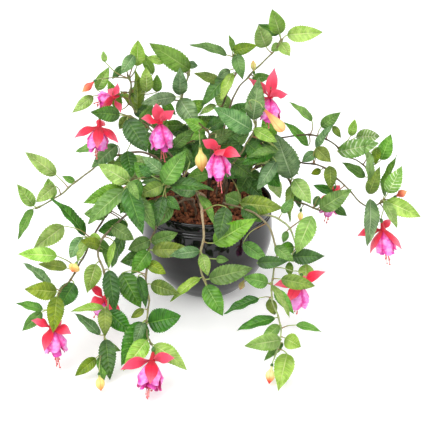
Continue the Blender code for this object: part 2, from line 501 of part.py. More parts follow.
# ---------------------------------------------------------------- leaves
def leaf_frame(stem, path, index, depths, size):
    """Hold on the stem, base, tip, normal and width of a leaf, for depth shifts and a size."""
    base_x, base_y, tip_x, tip_y, width, base_offset, tip_change = stem.leaves[index]
    hold = pane_nearest(stem, path, base_x, base_y, index)
    stem_depth = turned(hold, -stem.turn).y * 1000.0
    base_depth = stem_depth + base_offset + depths[0]
    tip_depth = base_depth - depths[0] + tip_change + depths[1]
    base = place(base_x, base_y, base_depth, stem.turn)
    tip = place(tip_x, tip_y, tip_depth, stem.turn)
    tip = base + (tip - base) * size
    tip.z = max(tip.z, LEAF_LOW)
    base.z = max(base.z, LEAF_LOW)
    axis = tip - base
    length = axis.length
    axis = axis / length
    middle = (base + tip) / 2
    sight = turned(EYE, stem.turn) - middle
    view = sight.normalized()
    facing = squared(view, axis).normalized()
    # the blade rolls about its axis until it looks as wide as the table says
    seen_width = width * (sight.length / PANE_DISTANCE) * size
    true_width = max(seen_width, 0.40 * length)
    roll = math.acos(max(-1.0, min(1.0, seen_width / true_width)))
    normals = [Matrix.Rotation(roll * way, 3, axis) @ facing for way in (1, -1)]
    normal = max(normals, key=lambda n: n.z)
    return hold, base, tip, normal.normalized(), true_width


def leaf_solids(hold, base, tip, normal, width, grow=0.0):
    """A leaf as a thin lens with a raised midrib, on a petiole that starts inside the stem."""
    axis = (tip - base).normalized()
    length = (tip - base).length
    side = axis.cross(normal)
    end = tip + axis * grow

    def ring(centre, across, up, half, rise):
        half, rise = half + grow, rise + grow
        return [centre + across * half - up * (rise * 0.5),
                centre + up * rise,
                centre - across * half - up * (rise * 0.5)]

    def blade_ring(share, lift, wide, thick):
        centre = base + axis * (length * share) + normal * (length * lift)
        return ring(centre, side, normal, width * wide, LEAF_T * thick)

    long_blade = [blade_ring(0.38, 0.05, 0.5, 1.0), blade_ring(0.74, 0.04, 0.33, 0.9)]
    rings = []
    reach = (base - hold).length
    if reach > 0.0085:
        petiole = (base - hold) / reach
        if petiole.dot(axis) < 0.35:
            # a sharp turn at the base: petiole and blade are two overlapping solids
            stalk = tube([hold, base + petiole * 0.0003], [0.0004 + grow, 0.0009 + grow], 3)
            heel = ring(base - axis * 0.0013, side, normal, 0.0016, 0.0009)
            return [stalk, skin([heel] + long_blade, end)]
        across = squared(side, petiole)
        across = across.normalized() if across.length > 0.2 else perpendicular(petiole)
        rings.append(ring(hold, across, across.cross(petiole), 0.0004, 0.0004))
        bisector = petiole + axis
        bisector = bisector.normalized() if bisector.length > 0.3 else axis
        across = squared(side, bisector)
        across = across.normalized() if across.length > 0.2 else side
        rings.append(ring(base, across, across.cross(bisector), 0.0010, 0.0009))
    else:
        petiole = (base + axis * (length * 0.38) - hold).normalized()
        across = squared(side, petiole).normalized()
        rings.append(ring(hold, across, across.cross(petiole), 0.0004, 0.0004))
    rings += [blade_ring(0.46, 0.05, 0.5, 1.0)] if length < 0.024 else long_blade
    return [skin(rings, end)]


# ---------------------------------------------------------------- flowers and buds
def hanging_points(part, shift):
    """Socket, neck and tip of a flower or bud."""
    turn = STEM_NAMED[part.stem].turn
    socket, neck, tip = [place(x, y, depth + shift, turn)
                         for x, y, depth in (part.socket, part.neck, part.tip)]
    if isinstance(part, Flower):
        tip.z = max(tip.z, STAMEN_LOW)
    return socket, neck, tip


def sepal_line(flower, shift, index):
    """Root, bulge and tip of a sepal, the ways out and across, and its length."""
    _, neck, stamen = hanging_points(flower, shift)
    axis = (stamen - neck).normalized()
    x, y, depth = flower.sepals[index]
    tip = place(x, y, flower.neck[2] + shift + depth, STEM_NAMED[flower.stem].turn)
    tip.z = max(tip.z, SEPAL_LOW)
    out = squared(tip - neck, axis).normalized()
    across = axis.cross(out).normalized()
    root = neck - axis * (0.0016 * flower.size) + out * (0.0010 * flower.size)
    run = tip - root
    length = run.length
    run = run / length
    bulge = root.lerp(tip, 0.47) + across.cross(run) * (0.10 * length)
    return root, bulge, tip, out, across, length


def corolla_room(flower, shift, z, way):
    """How far out from the axis a petal may stand at distance z from the neck."""
    _, neck, stamen = hanging_points(flower, shift)
    axis = (stamen - neck).normalized()
    room = 1.0
    for index in range(4):
        root, bulge, tip, out, _, _ = sepal_line(flower, shift, index)
        if way.dot(out) < 0.55:
            continue
        for start, end in ((root, bulge), (bulge, tip)):
            za, zb = (start - neck).dot(axis), (end - neck).dot(axis)
            if min(za, zb) <= z <= max(za, zb) and abs(zb - za) > 1e-6:
                point = start.lerp(end, (z - za) / (zb - za))
                room = min(room, (point - neck).dot(out))
    return room


def calyx_solids(flower, shift=0.0, grow=0.0):
    """The stalk, ovary and tube as one bar, and four sepals."""
    size = flower.size
    socket, neck, stamen = hanging_points(flower, shift)
    axis = (stamen - neck).normalized()
    ovary = neck - axis * (0.018 * size)
    gap = (ovary - socket).length
    middle = socket.lerp(ovary, 0.5) + Vector((0, 0, 1)) * (gap * 0.10)
    path = spline([socket, middle, ovary], max(gap / 2.0, 0.005))
    radii = [0.0007] * (len(path) - 1) + [0.0013]
    path += [ovary + axis * (0.0035 * size), ovary + axis * (0.0070 * size), neck]
    radii += [0.0022 * size, 0.0017 * size, 0.0034 * size]
    solids = [tube(path, radii, 5, last=axis, grow=grow)]

    def sepal_ring(centre, across, up, half):
        return [centre + across * (half + grow) - up * (0.0003 + grow),
                centre + up * (0.0005 + grow),
                centre - across * (half + grow) - up * (0.0003 + grow)]

    for index in range(4):
        root, bulge, tip, _, across, length = sepal_line(flower, shift, index)
        up = across.cross((bulge - root).normalized())
        half = min(0.0056 * size, 0.17 * length)
        rings = [sepal_ring(root, across, up, 0.0009 * size), sepal_ring(bulge, across, up, half)]
        solids.append(skin(rings, tip + (tip - bulge).normalized() * grow))
    return solids


def corolla_solids(flower, shift=0.0, grow=0.0):
    """The petals as one bell, kept under the sepals, and two stamens."""
    _, neck, stamen = hanging_points(flower, shift)
    axis = (stamen - neck).normalized()
    reach = (stamen - neck).length
    length = min(0.034 * flower.size, reach * 0.74)
    side = perpendicular(axis)
    other = axis.cross(side)
    # (distance from the neck, radius before the size scale)
    stations = [(0.0006, 0.0018), (0.22 * length, 0.0090), (0.60 * length, 0.0162),
                (length, 0.0135)]
    rings = []
    for z, radius in stations:
        ring = []
        for i in range(8):
            angle = 2 * math.pi * i / 8
            way = side * math.cos(angle) + other * math.sin(angle)
            room = min(corolla_room(flower, shift, z, way),
                       corolla_room(flower, shift, max(0.0006, z * 0.8), way) * 1.25)
            room = min(radius * flower.size, max(0.0009, room * 0.86 - 0.0010))
            ring.append(neck + axis * z + way * (room + grow))
        rings.append(ring)
    solids = [skin(rings)]
    # (angle in radians, share of the reach) of each stamen
    for angle, share in ((0.0, 1.0), (3.2, 0.84)):
        way = side * math.cos(angle) + other * math.sin(angle)
        start = neck + axis * (length - 0.004) + way * 0.0016
        end = neck + axis * max(reach * share, length + 0.003) + way * 0.0032
        solids.append(tube([start, end], [0.0005, 0.0005], 3, grow=grow))
    return solids


def bud_solids(bud, shift=0.0, grow=0.0):
    """A stalk that swells into a drop."""
    socket, neck, tip = hanging_points(bud, shift)
    axis = (tip - neck).normalized()
    gap = (neck - socket).length
    if bud.name == ARCHED_BUD:
        path = spline([socket, socket.lerp(neck, 0.45) + Vector((0, 0, 0.006)), neck], 0.007)
    elif gap > 0.008:
        path = spline([socket, socket.lerp(neck, 0.5) + Vector((0, 0, gap * 0.12)), neck], 0.005)
    else:
        path = [socket, neck]
    radii = [0.0007] * (len(path) - 1) + [0.0015]
    length = (tip - neck).length
    # (share of the length, share of the radius)
    for along, swell in ((0.16, 0.32), (0.38, 0.72), (0.64, 1.0), (0.88, 0.55)):
        path.append(neck + axis * (length * along))
        radii.append(max(bud.radius / 1000.0 * swell, 0.0012))
    rings = [circle(point, side, tangent.cross(side), radius + grow, 6)
             for point, tangent, side, radius in zip(path, *frames(path), radii)]
    return [skin(rings, tip + axis * grow)]


def hanging_solids(part, shift, grow):
    if isinstance(part, Flower):
        return calyx_solids(part, shift, grow) + corolla_solids(part, shift, grow)
    return bud_solids(part, shift, grow)


# ---------------------------------------------------------------- motion and clearances
Hinge = namedtuple("Hinge", "point axis low high")      # low and high in degrees


def turn_about(hinge, degrees):
    return (Matrix.Translation(hinge.point)
            @ Matrix.Rotation(math.radians(degrees), 4, hinge.axis)
            @ Matrix.Translation(-hinge.point))


def sweep(joint, hinge):
    """The poses of one joint, seven steps over its range, without rest."""
    angles = [hinge.low + (hinge.high - hinge.low) * i / 6 for i in range(7)]
    return [(joint, a) for a in angles if abs(a) > 1e-6]


def bend_hinge(path, low, high):
    outward = path[-1] - path[0]
    outward.z = 0
    outward.normalize()
    return Hinge(path[0].copy(), outward.cross(Vector((0, 0, 1))), low, high)


class Piece:
    """Part of a body (node) with the joints that move it, outermost first."""

    def __init__(self, node, solids, joints):
        self.node, self.joints = node, joints
        self.verts, self.faces = [], []
        for verts, faces in solids:
            k = len(self.verts)
            self.verts += verts
            self.faces += [tuple(i + k for i in face) for face in faces]
        self.cache = {}

    def at(self, pose):
        """Tree, low corner, high corner and points in 'rest', 'low', 'high' or (joint, degrees)."""
        if isinstance(pose, tuple) and pose[0] not in self.joints:
            pose = "rest"
        if pose not in self.cache:
            motion = Matrix.Identity(4)
            for joint, hinge in self.joints.items():
                if isinstance(pose, tuple):
                    degrees = pose[1] if pose[0] == joint else 0
                else:
                    degrees = {"rest": 0, "low": hinge.low, "high": hinge.high}[pose]
                motion = motion @ turn_about(hinge, degrees)
            verts = [motion @ p for p in self.verts]
            low = Vector([min(p[k] for p in verts) for k in range(3)])
            high = Vector([max(p[k] for p in verts) for k in range(3)])
            self.cache[pose] = (BVHTree.FromPolygons(verts, self.faces), low, high, verts)
        return self.cache[pose]


def meet(one, two):
    """Do two pieces of different bodies touch in any tested pose?"""
    if one.node == two.node:
        return False
    poses = ["rest", "low", "high"]
    for a, b in ((one, two), (two, one)):
        for joint, hinge in a.joints.items():
            if joint not in b.joints:
                poses += sweep(joint, hinge)
    for pose in poses:
        tree_a, low_a, high_a, _ = one.at(pose)
        tree_b, low_b, high_b, _ = two.at(pose)
        if any(low_a[k] > high_b[k] or low_b[k] > high_a[k] for k in range(3)):
            continue
        if tree_a.overlap(tree_b):
            return True
    return False


def in_pot(point):
    """Is the point in the space the bowl sweeps as the planting lifts out, or too low?"""
    radius = math.hypot(point.x, point.y)
    in_mouth = radius < POT_LIP_R - POT_WALL - POT_MARGIN and point.z > GRAVEL_TOP + 0.0005
    beside = point.z < POT_H + POT_MARGIN and radius < POT_R + POT_MARGIN
    return (beside and not in_mouth) or point.z < FLOOR_CLEAR


def hits_pot(piece):
    """Does any edge of a piece, sampled every 4 mm, enter the pot's space in any pose?"""
    poses = ["rest", "low", "high"]
    for joint, hinge in piece.joints.items():
        poses += sweep(joint, hinge)
    for pose in poses:
        verts = piece.at(pose)[3]
        for face in piece.faces:
            for i in range(len(face)):
                start, end = verts[face[i]], verts[face[(i + 1) % len(face)]]
                count = max(1, int((start - end).length / 0.004))
                if any(in_pot(start.lerp(end, k / count)) for k in range(count)):
                    return True
    return False


# ---------------------------------------------------------------- laying out the planting
TWIG_ORDER = 5        # order number that a twig's hold takes along its stem


def place_hanging(paths, joints, placed):
    """Depth shift of every flower and bud, and each stem's twigs as (hold, socket, way)."""
    shifts = {}
    twigs = {stem.name: [] for stem in STEMS}
    for part in FLOWERS + BUDS:
        stem = STEM_NAMED[part.stem]
        hold = pane_nearest(stem, paths[stem.name], part.socket[0], part.socket[1], TWIG_ORDER)
        swing_axis = turned(Vector((0, 1, 0)), stem.turn)
        shifts[part.name] = 0
        for shift in HANGING_TRIES:
            socket = hanging_points(part, shift)[0]
            solids = hanging_solids(part, shift, HANGING_MARGIN)
            swing = Hinge(socket, swing_axis, -part.swing, part.swing)
            piece = Piece(part.name, solids, {**joints[stem.name], "swing:" + part.name: swing})
            # the stalk's way is taken from the mean of its points 6 to 11
            stalk = solids[0][0]
            toward = (sum((stalk[i] for i in range(6, 12)), Vector()) / 6 - socket).normalized()
            twig = Piece(stem.name, [twig_solid(hold, socket, toward, HANGING_MARGIN)],
                         joints[stem.name])
            if any(meet(piece, other) or meet(twig, other) for other in placed):
                continue
            if hits_pot(piece):
                continue
            shifts[part.name] = shift
            placed += [piece, twig]
            twigs[stem.name].append((hold, socket, toward))
            break
    return shifts, twigs


def clear_leaf(stem, path, index, joints, placed):
    """The first size and depths at which a leaf is clear, as (frame, piece), or None."""
    for size in SIZE_TRIES:
        for depths in DEPTH_TRIES:
            frame = leaf_frame(stem, path, index, depths, size)
            hold, base, tip = frame[:3]
            if (tip - base).length > LEAF_LONGEST or (base - hold).length > PETIOLE_LONGEST:
                continue
            piece = Piece(stem.name, leaf_solids(*frame, grow=LEAF_MARGIN), joints)
            if hits_pot(piece) or any(meet(piece, other) for other in placed):
                continue
            return frame, piece
    return None


def place_leaves(paths, joints, placed):
    """Leaf frames by stem and index, placed from the front back; crowded-out leaves are left."""
    jobs = []
    for stem in STEMS:
        for index in range(len(stem.leaves)):
            _, base, tip, _, _ = leaf_frame(stem, paths[stem.name], index, (0, 0), 1.0)
            middle = turned((base + tip) / 2, -stem.turn)
            # turned stems are at the rear and come last
            jobs.append((round(middle.y, 4) + (1.0 if stem.turn else 0.0), stem.name, index))
    leaves = {stem.name: {} for stem in STEMS}
    for _, name, index in sorted(jobs):
        found = clear_leaf(STEM_NAMED[name], paths[name], index, joints[name], placed)
        if found:
            leaves[name][index] = found[0]
            placed.append(found[1])
    return leaves


def lay_out():
    """Stem paths, shifts of the hanging parts, twigs and leaf frames."""
    paths = {stem.name: stem_path(stem) for stem in STEMS}
    joints = {stem.name: {} for stem in STEMS}
    for name, low, high in BENDS:
        joints[name]["bend:" + name] = bend_hinge(paths[name], low, high)
    placed = [Piece(name, [stem_solid(path, 5, STEM_MARGIN)], joints[name])
              for name, path in paths.items()]
    shifts, twigs = place_hanging(paths, joints, placed)
    leaves = place_leaves(paths, joints, placed)
    return paths, shifts, twigs, leaves


# ---------------------------------------------------------------- meshes and unions
def mesh_of(name, solids):
    """One triangulated mesh of all the solids."""
    mesh = bpy.data.meshes.new(name)
    verts, faces = [], []
    for points, polygons in solids:
        k = len(verts)
        verts += [tuple(p) for p in points]
        for g in polygons:
            faces += [(g[0] + k, g[i] + k, g[i + 1] + k) for i in range(1, len(g) - 1)]
    mesh.from_pydata(verts, [], faces)
    mesh.validate()
    mesh.update()
    return mesh


def drop_crumbs(bm, least=2e-9):
    """Removes loose scraps under two cubic millimetres, left where surfaces graze."""
    bm.faces.ensure_lookup_table()
    seen = set()
    for start in bm.faces:
        if start.index in seen:
            continue
        group, queue = [], [start]
        seen.add(start.index)
        while queue:
            face = queue.pop()
            group.append(face)
            for edge in face.edges:
                for near in edge.link_faces:
                    if near.index not in seen:
                        seen.add(near.index)
                        queue.append(near)
        volume = 0.0
        for face in group:
            a, b, c = (v.co for v in face.verts[:3])
            volume += a.dot(b.cross(c)) / 6
        if abs(volume) < least:
            bmesh.ops.delete(bm, geom=group, context="FACES")
            bm.faces.ensure_lookup_table()
            bm.faces.index_update()
            drop_crumbs(bm, least)
            return


def keeps_closed(a, b):
    """Would merging two neighbouring vertices leave the surface a closed skin?"""
    if any(len(e.link_faces) != 2 for v in (a, b) for e in v.link_edges):
        return False
    shared = {e.other_vert(a) for e in a.link_edges} & {e.other_vert(b) for e in b.link_edges}
    return len(shared) == 2 and all(len(v.link_edges) >= 4 for v in shared)


def keeps_facing(keep, gone):
    """Would the faces round gone keep their area and direction once it moves to keep?"""
    for face in gone.link_faces:
        if keep in face.verts:
            continue
        before = [v.co for v in face.verts]
        after = [keep.co if v is gone else v.co for v in face.verts]
        n0 = (before[1] - before[0]).cross(before[2] - before[0])
        n1 = (after[1] - after[0]).cross(after[2] - after[0])
        if n1.length < 2e-9:
            return False
        if n0.length > 4e-9 and n0.normalized().dot(n1.normalized()) < 0.80:
            return False
    return True


def close_up(bm, least=0.0005):
    """Draws edges under half a millimetre together, wherever the surface allows it."""
    again = True
    while again:
        again = False
        edges = sorted((e for e in bm.edges if e.calc_length() < least),
                       key=lambda e: (round(e.calc_length(), 8), e.index))
        for edge in edges:
            if not edge.is_valid:
                continue
            a, b = edge.verts
            if not keeps_closed(a, b):
                continue
            for keep, gone in ((a, b), (b, a)):
                if keeps_facing(keep, gone):
                    bmesh.ops.pointmerge(bm, verts=[gone, keep], merge_co=keep.co.copy())
                    again = True
                    break
        bm.edges.index_update()


def joined(base, group, solver):
    """The cleaned union of base and group, whether it is a closed skin, and its volume."""
    union = base.modifiers.new("union", "BOOLEAN")
    union.operation = "UNION"
    union.solver = solver
    union.operand_type = "COLLECTION"
    union.collection = group
    bpy.context.view_layer.update()
    depsgraph = bpy.context.evaluated_depsgraph_get()
    mesh = bpy.data.meshes.new_from_object(base.evaluated_get(depsgraph))
    base.modifiers.remove(union)
    bm = bmesh.new()
    bm.from_mesh(mesh)
    bmesh.ops.remove_doubles(bm, verts=bm.verts, dist=1e-6)
    bmesh.ops.dissolve_degenerate(bm, edges=bm.edges, dist=1e-6)
    bmesh.ops.triangulate(bm, faces=bm.faces)
    drop_crumbs(bm)
    close_up(bm)
    closed = all(len(e.link_faces) == 2 for e in bm.edges)
    volume = bm.calc_volume()
    bm.to_mesh(mesh)
    bm.free()
    return mesh, closed, volume


def united(name, solids):
    """One body from overlapping solids. The EXACT union is kept where it is closed and has the
    whole volume; where thin petioles graze a stem it may not, and MANIFOLD's is taken."""
    base = bpy.data.objects.new(name + "_base", mesh_of(name + "_base", solids[:1]))
    COLLECTION.objects.link(base)
    group = bpy.data.collections.new(name + "_pieces")
    COLLECTION.children.link(group)
    for i, solid in enumerate(solids[1:]):
        piece_name = f"{name}_piece{i}"
        group.objects.link(bpy.data.objects.new(piece_name, mesh_of(piece_name, [solid])))
    mesh, closed, volume = joined(base, group, "EXACT")
    spare, _, spare_volume = joined(base, group, "MANIFOLD")
    if not closed or abs(volume - spare_volume) > 0.001 * spare_volume:
        mesh, spare = spare, mesh
    bpy.data.meshes.remove(spare)
    for piece in list(group.objects):
        bpy.data.objects.remove(piece)
    bpy.data.collections.remove(group)
    bpy.data.objects.remove(base)
    mesh.name = name
    return mesh


# ---------------------------------------------------------------- objects and materials
PIVOTS = {}      # world place of each pivot empty


def pivot_empty(name, at, parent=None):
    empty = bpy.data.objects.new(name, None)
    empty.empty_display_size = 0.01
    COLLECTION.objects.link(empty)
    empty.location = at
    if parent is not None:
        empty.parent = parent
        empty.location = at - PIVOTS[parent.name]
    PIVOTS[name] = at.copy()
    return empty


def put(name, mesh, surface, parent=None):
    """A smooth-shaded object whose origin lies on its parent pivot."""
    obj = bpy.data.objects.new(name, mesh)
    COLLECTION.objects.link(obj)
    mesh.materials.clear()
    mesh.materials.append(surface)
    if parent is not None:
        mesh.transform(Matrix.Translation(-PIVOTS[parent.name]))
        obj.parent = parent
    mesh.shade_smooth()
    mesh.set_sharp_from_angle(angle=math.radians(35))


def material(name, colour, roughness):
    mat = bpy.data.materials.new(name)
    mat.use_nodes = True
    shader = mat.node_tree.nodes.get("Principled BSDF")
    shader.inputs["Base Color"].default_value = (*colour, 1.0)
    shader.inputs["Roughness"].default_value = roughness
    mat.diffuse_color = (*colour, 1.0)
    return mat


# ---------------------------------------------------------------- the pot and what fills it
# Profiles are (radius, height) in mm. They start and end on the axis, or close on themselves.
# foot, belly, double groove under the rim, rolled lip, inner wall and floor
COVER_POT = [
    (0, 0), (39, 0), (52, 5.5), (68, 21.5), (82, 39), (90.4, 54.5), (96.8, 73), (100.6, 91),
    (101.2, 104), (100.2, 124), (99.6, 130.8), (98.4, 131.8), (98.4, 138), (99.5, 139.2),
    (99.7, 150.2), (97.4, 152.5), (95.2, 150.4), (94.8, 137), (96.6, 102), (91.8, 70),
    (78.0, 40.5), (47, 7.4), (44, 6.5), (0, 6.5),
]
# the grower's pot that drops into the bowl
GROW_POT = [
    (0, 6.9), (40.5, 6.9), (42, 8.4), (83.6, 116.0), (87.6, 116.4), (88.0, 117.2),
    (88.0, 121.4), (87.2, 122.0), (82.6, 122.0), (82.0, 121.4), (40.3, 10.2), (39.0, 8.9),
    (0, 8.9),
]
# the cast weight inside it, with a blind hole for the stake
BALLAST = [
    (0, 9.3), (38.7, 9.3), (39.9, 10.4), (81.4, 121.0), (80.9, 121.6), (8.6, 121.6),
    (8.6, 60.0), (0, 60.0),
]
# the disc that carries the stems, on a stake
ANCHOR = [
    (0, 60.6), (4.5, 60.6), (8.0, 66.0), (8.0, 122.0), (48.5, 122.0), (50.0, 124.0),
    (50.0, 137.0), (48.5, 138.5), (0, 138.5),
]
# the ring of clay granules round the disc
GRANULES = [(50.6, 122.4), (93.2, 122.4), (93.4, 137.0), (82, 139.2), (66, 139.9), (50.6, 139.0)]


def lathe(profile, segments):
    """A turned solid from a profile."""
    verts, rings = [], []      # a ring is (index of its first point, number of points)
    for radius, z in [(r / 1000.0, z / 1000.0) for r, z in profile]:
        count = 1 if radius <= 1e-9 else segments
        rings.append((len(verts), count))
        for i in range(count):
            angle = 2 * math.pi * i / segments
            verts.append(Vector((radius * math.cos(angle), radius * math.sin(angle), z)))
    pairs = list(zip(rings, rings[1:]))
    if rings[0][1] > 1:
        pairs.append((rings[-1], rings[0]))
    faces = []
    for (a, count_a), (b, count_b) in pairs:
        for i in range(segments):
            j = (i + 1) % segments
            if count_a == 1:
                faces.append((a, b + j, b + i))
            elif count_b == 1:
                faces.append((a + i, a + j, b))
            else:
                faces.append((a + i, a + j, b + j, b + i))
    return facing_out(verts, faces)


def granules_solid():
    """The granules' ring with two ripples on its top."""
    verts, faces = lathe(GRANULES, 28)
    for p in verts:
        if p.z > 0.130:
            angle = math.atan2(p.y, p.x)
            radius = math.hypot(p.x, p.y)
            p.z += (0.0011 * math.sin(7 * angle + 40 * radius)
                    + 0.0008 * math.sin(13 * angle - 90 * radius))
    return verts, faces


def build_pot(lift):
    """The cover pot stands still; its filling lifts out with the planting."""
    glaze = material("glossy_black_glaze", colour=(0.012, 0.012, 0.014), roughness=0.09)
    plastic = material("grow_pot_plastic", colour=(0.02, 0.02, 0.02), roughness=0.45)
    cement = material("cast_weight", colour=(0.42, 0.40, 0.37), roughness=0.9)
    anchor = material("anchor_plastic", colour=(0.10, 0.13, 0.06), roughness=0.6)
    clay = material("clay_granules", colour=(0.16, 0.052, 0.026), roughness=0.85)
    for name, solid, surface, parent in (
            ("cover_pot", lathe(COVER_POT, 32), glaze, None),
            ("grow_pot", lathe(GROW_POT, 24), plastic, lift),
            ("ballast_weight", lathe(BALLAST, 24), cement, lift),
            ("stem_anchor", lathe(ANCHOR, 24), anchor, lift),
            ("clay_granules", granules_solid(), clay, lift)):
        put(name, mesh_of(name, [solid]), surface, parent)


# ---------------------------------------------------------------- the planting
LIME_STEMS = ("stem_top_right", "stem_right_long", "stem_left_upper")
DEEP_STEMS = ("stem_centre_left", "stem_front_left", "stem_rear")


def build_stems(lift, paths, twigs, leaves):
    """Each stem with its twigs and leaves, on a pivot at its root; returns the pivots."""
    mid = material("leaf_mid_green", colour=(0.10, 0.26, 0.055), roughness=0.5)
    lime = material("leaf_lime", colour=(0.40, 0.60, 0.18), roughness=0.5)
    deep = material("leaf_deep_green", colour=(0.045, 0.14, 0.03), roughness=0.5)
    holders = {}
    for name, path in paths.items():
        solids = [stem_solid(path, 4)]
        solids += [twig_solid(*twig) for twig in twigs[name]]
        for _, frame in sorted(leaves[name].items()):
            solids += leaf_solids(*frame)
        holders[name] = pivot_empty("pivot_" + name, path[0], lift)
        green = lime if name in LIME_STEMS else deep if name in DEEP_STEMS else mid
        put(name, united(name, solids), green, holders[name])
    return holders


def build_hanging(holders, shifts):
    """Flowers and buds, each on a pivot at its socket."""
    red = material("sepal_red", colour=(0.75, 0.03, 0.07), roughness=0.5)
    orchid = material("petal_orchid", colour=(0.72, 0.15, 0.55), roughness=0.5)
    yellow = material("bud_yellow_orange", colour=(0.85, 0.55, 0.22), roughness=0.45)
    for part in FLOWERS + BUDS:
        name, shift = part.name, shifts[part.name]
        socket = hanging_points(part, shift)[0]
        pivot = pivot_empty("pivot_" + name, socket, holders[part.stem])
        if isinstance(part, Flower):
            calyx, corolla = name + "_calyx", name + "_corolla"
            put(calyx, united(calyx, calyx_solids(part, shift)), red, pivot)
            put(corolla, united(corolla, corolla_solids(part, shift)), orchid, pivot)
        else:
            put(name, mesh_of(name, bud_solids(part, shift)), yellow, pivot)


def build():
    paths, shifts, twigs, leaves = lay_out()
    lift = pivot_empty("pivot_planting", Vector((0, 0, 0)))
    build_pot(lift)
    holders = build_stems(lift, paths, twigs, leaves)
    build_hanging(holders, shifts)


build()
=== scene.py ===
"""A trailing fuchsia in a glossy round cover pot: the fine surface of every CAD node.

Metres, +Z up. The pot's axis is the Z axis and its foot stands on z = 0; the front is -Y and
the right is +X. The layout tables are the ones the CAD is driven by, so each fine leaf, stem,
flower and bud lies where its solid lies and rides on the same body.
"""
import json
import math
from collections import namedtuple

import bmesh
import bpy
import numpy as np
from mathutils import Matrix, Vector
from mathutils.kdtree import KDTree


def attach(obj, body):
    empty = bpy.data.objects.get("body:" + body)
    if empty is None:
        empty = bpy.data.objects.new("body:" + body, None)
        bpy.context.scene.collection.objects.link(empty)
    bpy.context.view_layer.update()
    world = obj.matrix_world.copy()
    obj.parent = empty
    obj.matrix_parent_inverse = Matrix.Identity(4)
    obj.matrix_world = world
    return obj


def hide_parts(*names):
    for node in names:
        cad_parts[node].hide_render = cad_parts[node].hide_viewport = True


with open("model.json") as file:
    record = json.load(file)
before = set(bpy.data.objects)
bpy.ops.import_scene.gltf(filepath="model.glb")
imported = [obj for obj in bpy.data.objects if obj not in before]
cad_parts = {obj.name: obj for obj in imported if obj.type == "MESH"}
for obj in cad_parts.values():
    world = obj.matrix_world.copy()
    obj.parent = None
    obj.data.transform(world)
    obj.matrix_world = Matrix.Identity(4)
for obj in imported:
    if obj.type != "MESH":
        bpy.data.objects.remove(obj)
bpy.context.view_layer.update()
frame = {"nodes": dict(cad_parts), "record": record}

NODES = frame["nodes"]
BODY_OF = {member: body
           for body, members in frame["record"]["behaviour"]["bodies"].items()
           for member in members}

# ------------------------------------------------------------------ driving sizes
# The planting is set out on a square sheet, standing square to the line of sight of a person
# in front of the pot. A place is (across, down, depth) in mm: across and down are read on the
# sheet, depth runs back from the pot's axis and is negative in front of it.
SHEET_DISTANCE = 1065.0      # mm from the eye
SHEET_SIDE = 430.0           # mm
LOOK_DOWN = 25.0             # degrees
EYE = Vector((0.0124, -1.4954, 0.8198))

SHEET_CENTRE = SHEET_SIDE / 2
LOOK = math.radians(LOOK_DOWN)
RIGHT = Vector((1.0, 0.0, 0.0))
AHEAD = Vector((0.0, math.cos(LOOK), -math.sin(LOOK)))
UPWARD = Vector((0.0, math.sin(LOOK), math.cos(LOOK)))

ROOT_HEIGHT = 0.1389
COARSE_STEP = 0.026          # spacing along a stem where leaves take hold, as in the CAD
FINE_STEP = 0.0035           # spacing along a stem's fine skin
LEAF_HALF_THICK = 0.00045    # half thickness of a solid leaf on its midrib
LEAF_LOW = 0.0065            # lowest base or tip of a leaf
STAMEN_LOW, SEPAL_LOW = 0.006, 0.0070
SKIN_LOW = 0.0046            # nothing that grows reaches below this


# ------------------------------------------------------------------ numbers and curves
def rnd(*key):
    """A steady number in 0..1 for a key of numbers."""
    x = 0.137
    for i, k in enumerate(key):
        x = math.sin(x * 91.7 + float(k) * (12.9898 + 7.31 * i) + 4.17) * 43758.5453
        x -= math.floor(x)
    return x


def arr(values):
    return np.array(values, float)


def smooth(start, end, x):
    t = np.clip((x - start) / (end - start), 0, 1)
    return t * t * (3 - 2 * t)


def spline(points, step):
    """Catmull-Rom through the points, sampled about every step."""
    pts = [Vector(p) for p in points]
    knots = [pts[0] * 2 - pts[1]] + pts + [pts[-1] * 2 - pts[-2]]
    out = []
    for p0, p1, p2, p3 in zip(knots, knots[1:], knots[2:], knots[3:]):
        count = max(1, int(round((p2 - p1).length / step)))
        for k in range(count):
            t = k / count
            out.append(0.5 * ((2 * p1) + (p2 - p0) * t + (2 * p0 - 5 * p1 + 4 * p2 - p3) * t * t
                              + (3 * p1 - p0 - 3 * p2 + p3) * t * t * t))
    out.append(pts[-1].copy())
    return out


def perpendicular(way):
    guide = Vector((0, 0, 1)) if abs(way.z) < 0.9 else Vector((1, 0, 0))
    return (guide - way * guide.dot(way)).normalized()


def frames(path):
    """Tangents of a path, and a side vector at each point carried along without twist."""
    last = len(path) - 1
    tangents = [(path[min(last, i + 1)] - path[max(0, i - 1)]).normalized()
                for i in range(len(path))]
    sides = [perpendicular(tangents[0])]
    for tangent in tangents[1:]:
        sides.append((sides[-1] - tangent * sides[-1].dot(tangent)).normalized())
    return tangents, sides


def on_path(path, point):
    """Nearest point of a path, and its share of the path."""
    best = (1e9, None, 0.0)
    for i in range(len(path) - 1):
        start = path[i]
        run = path[i + 1] - start
        t = max(0.0, min(1.0, (point - start).dot(run) / max(run.length_squared, 1e-12)))
        near = start + run * t
        distance = (near - point).length
        if distance < best[0]:
            best = (distance, near, (i + t) / (len(path) - 1))
    return best[1:]


# ------------------------------------------------------------------ the layout sheet
def swing(point, turn):
    """The point swung round the pot's axis by turn degrees."""
    return Matrix.Rotation(math.radians(turn), 3, "Z") @ point


def place(across, down, depth, turn=0.0):
    """World point of a place on the sheet, swung round the pot's axis."""
    ray = (AHEAD * SHEET_DISTANCE + RIGHT * (across - SHEET_CENTRE)
           + UPWARD * (SHEET_CENTRE - down))
    return swing(EYE + ray * ((depth / 1000.0 - EYE.y) / ray.y), turn)


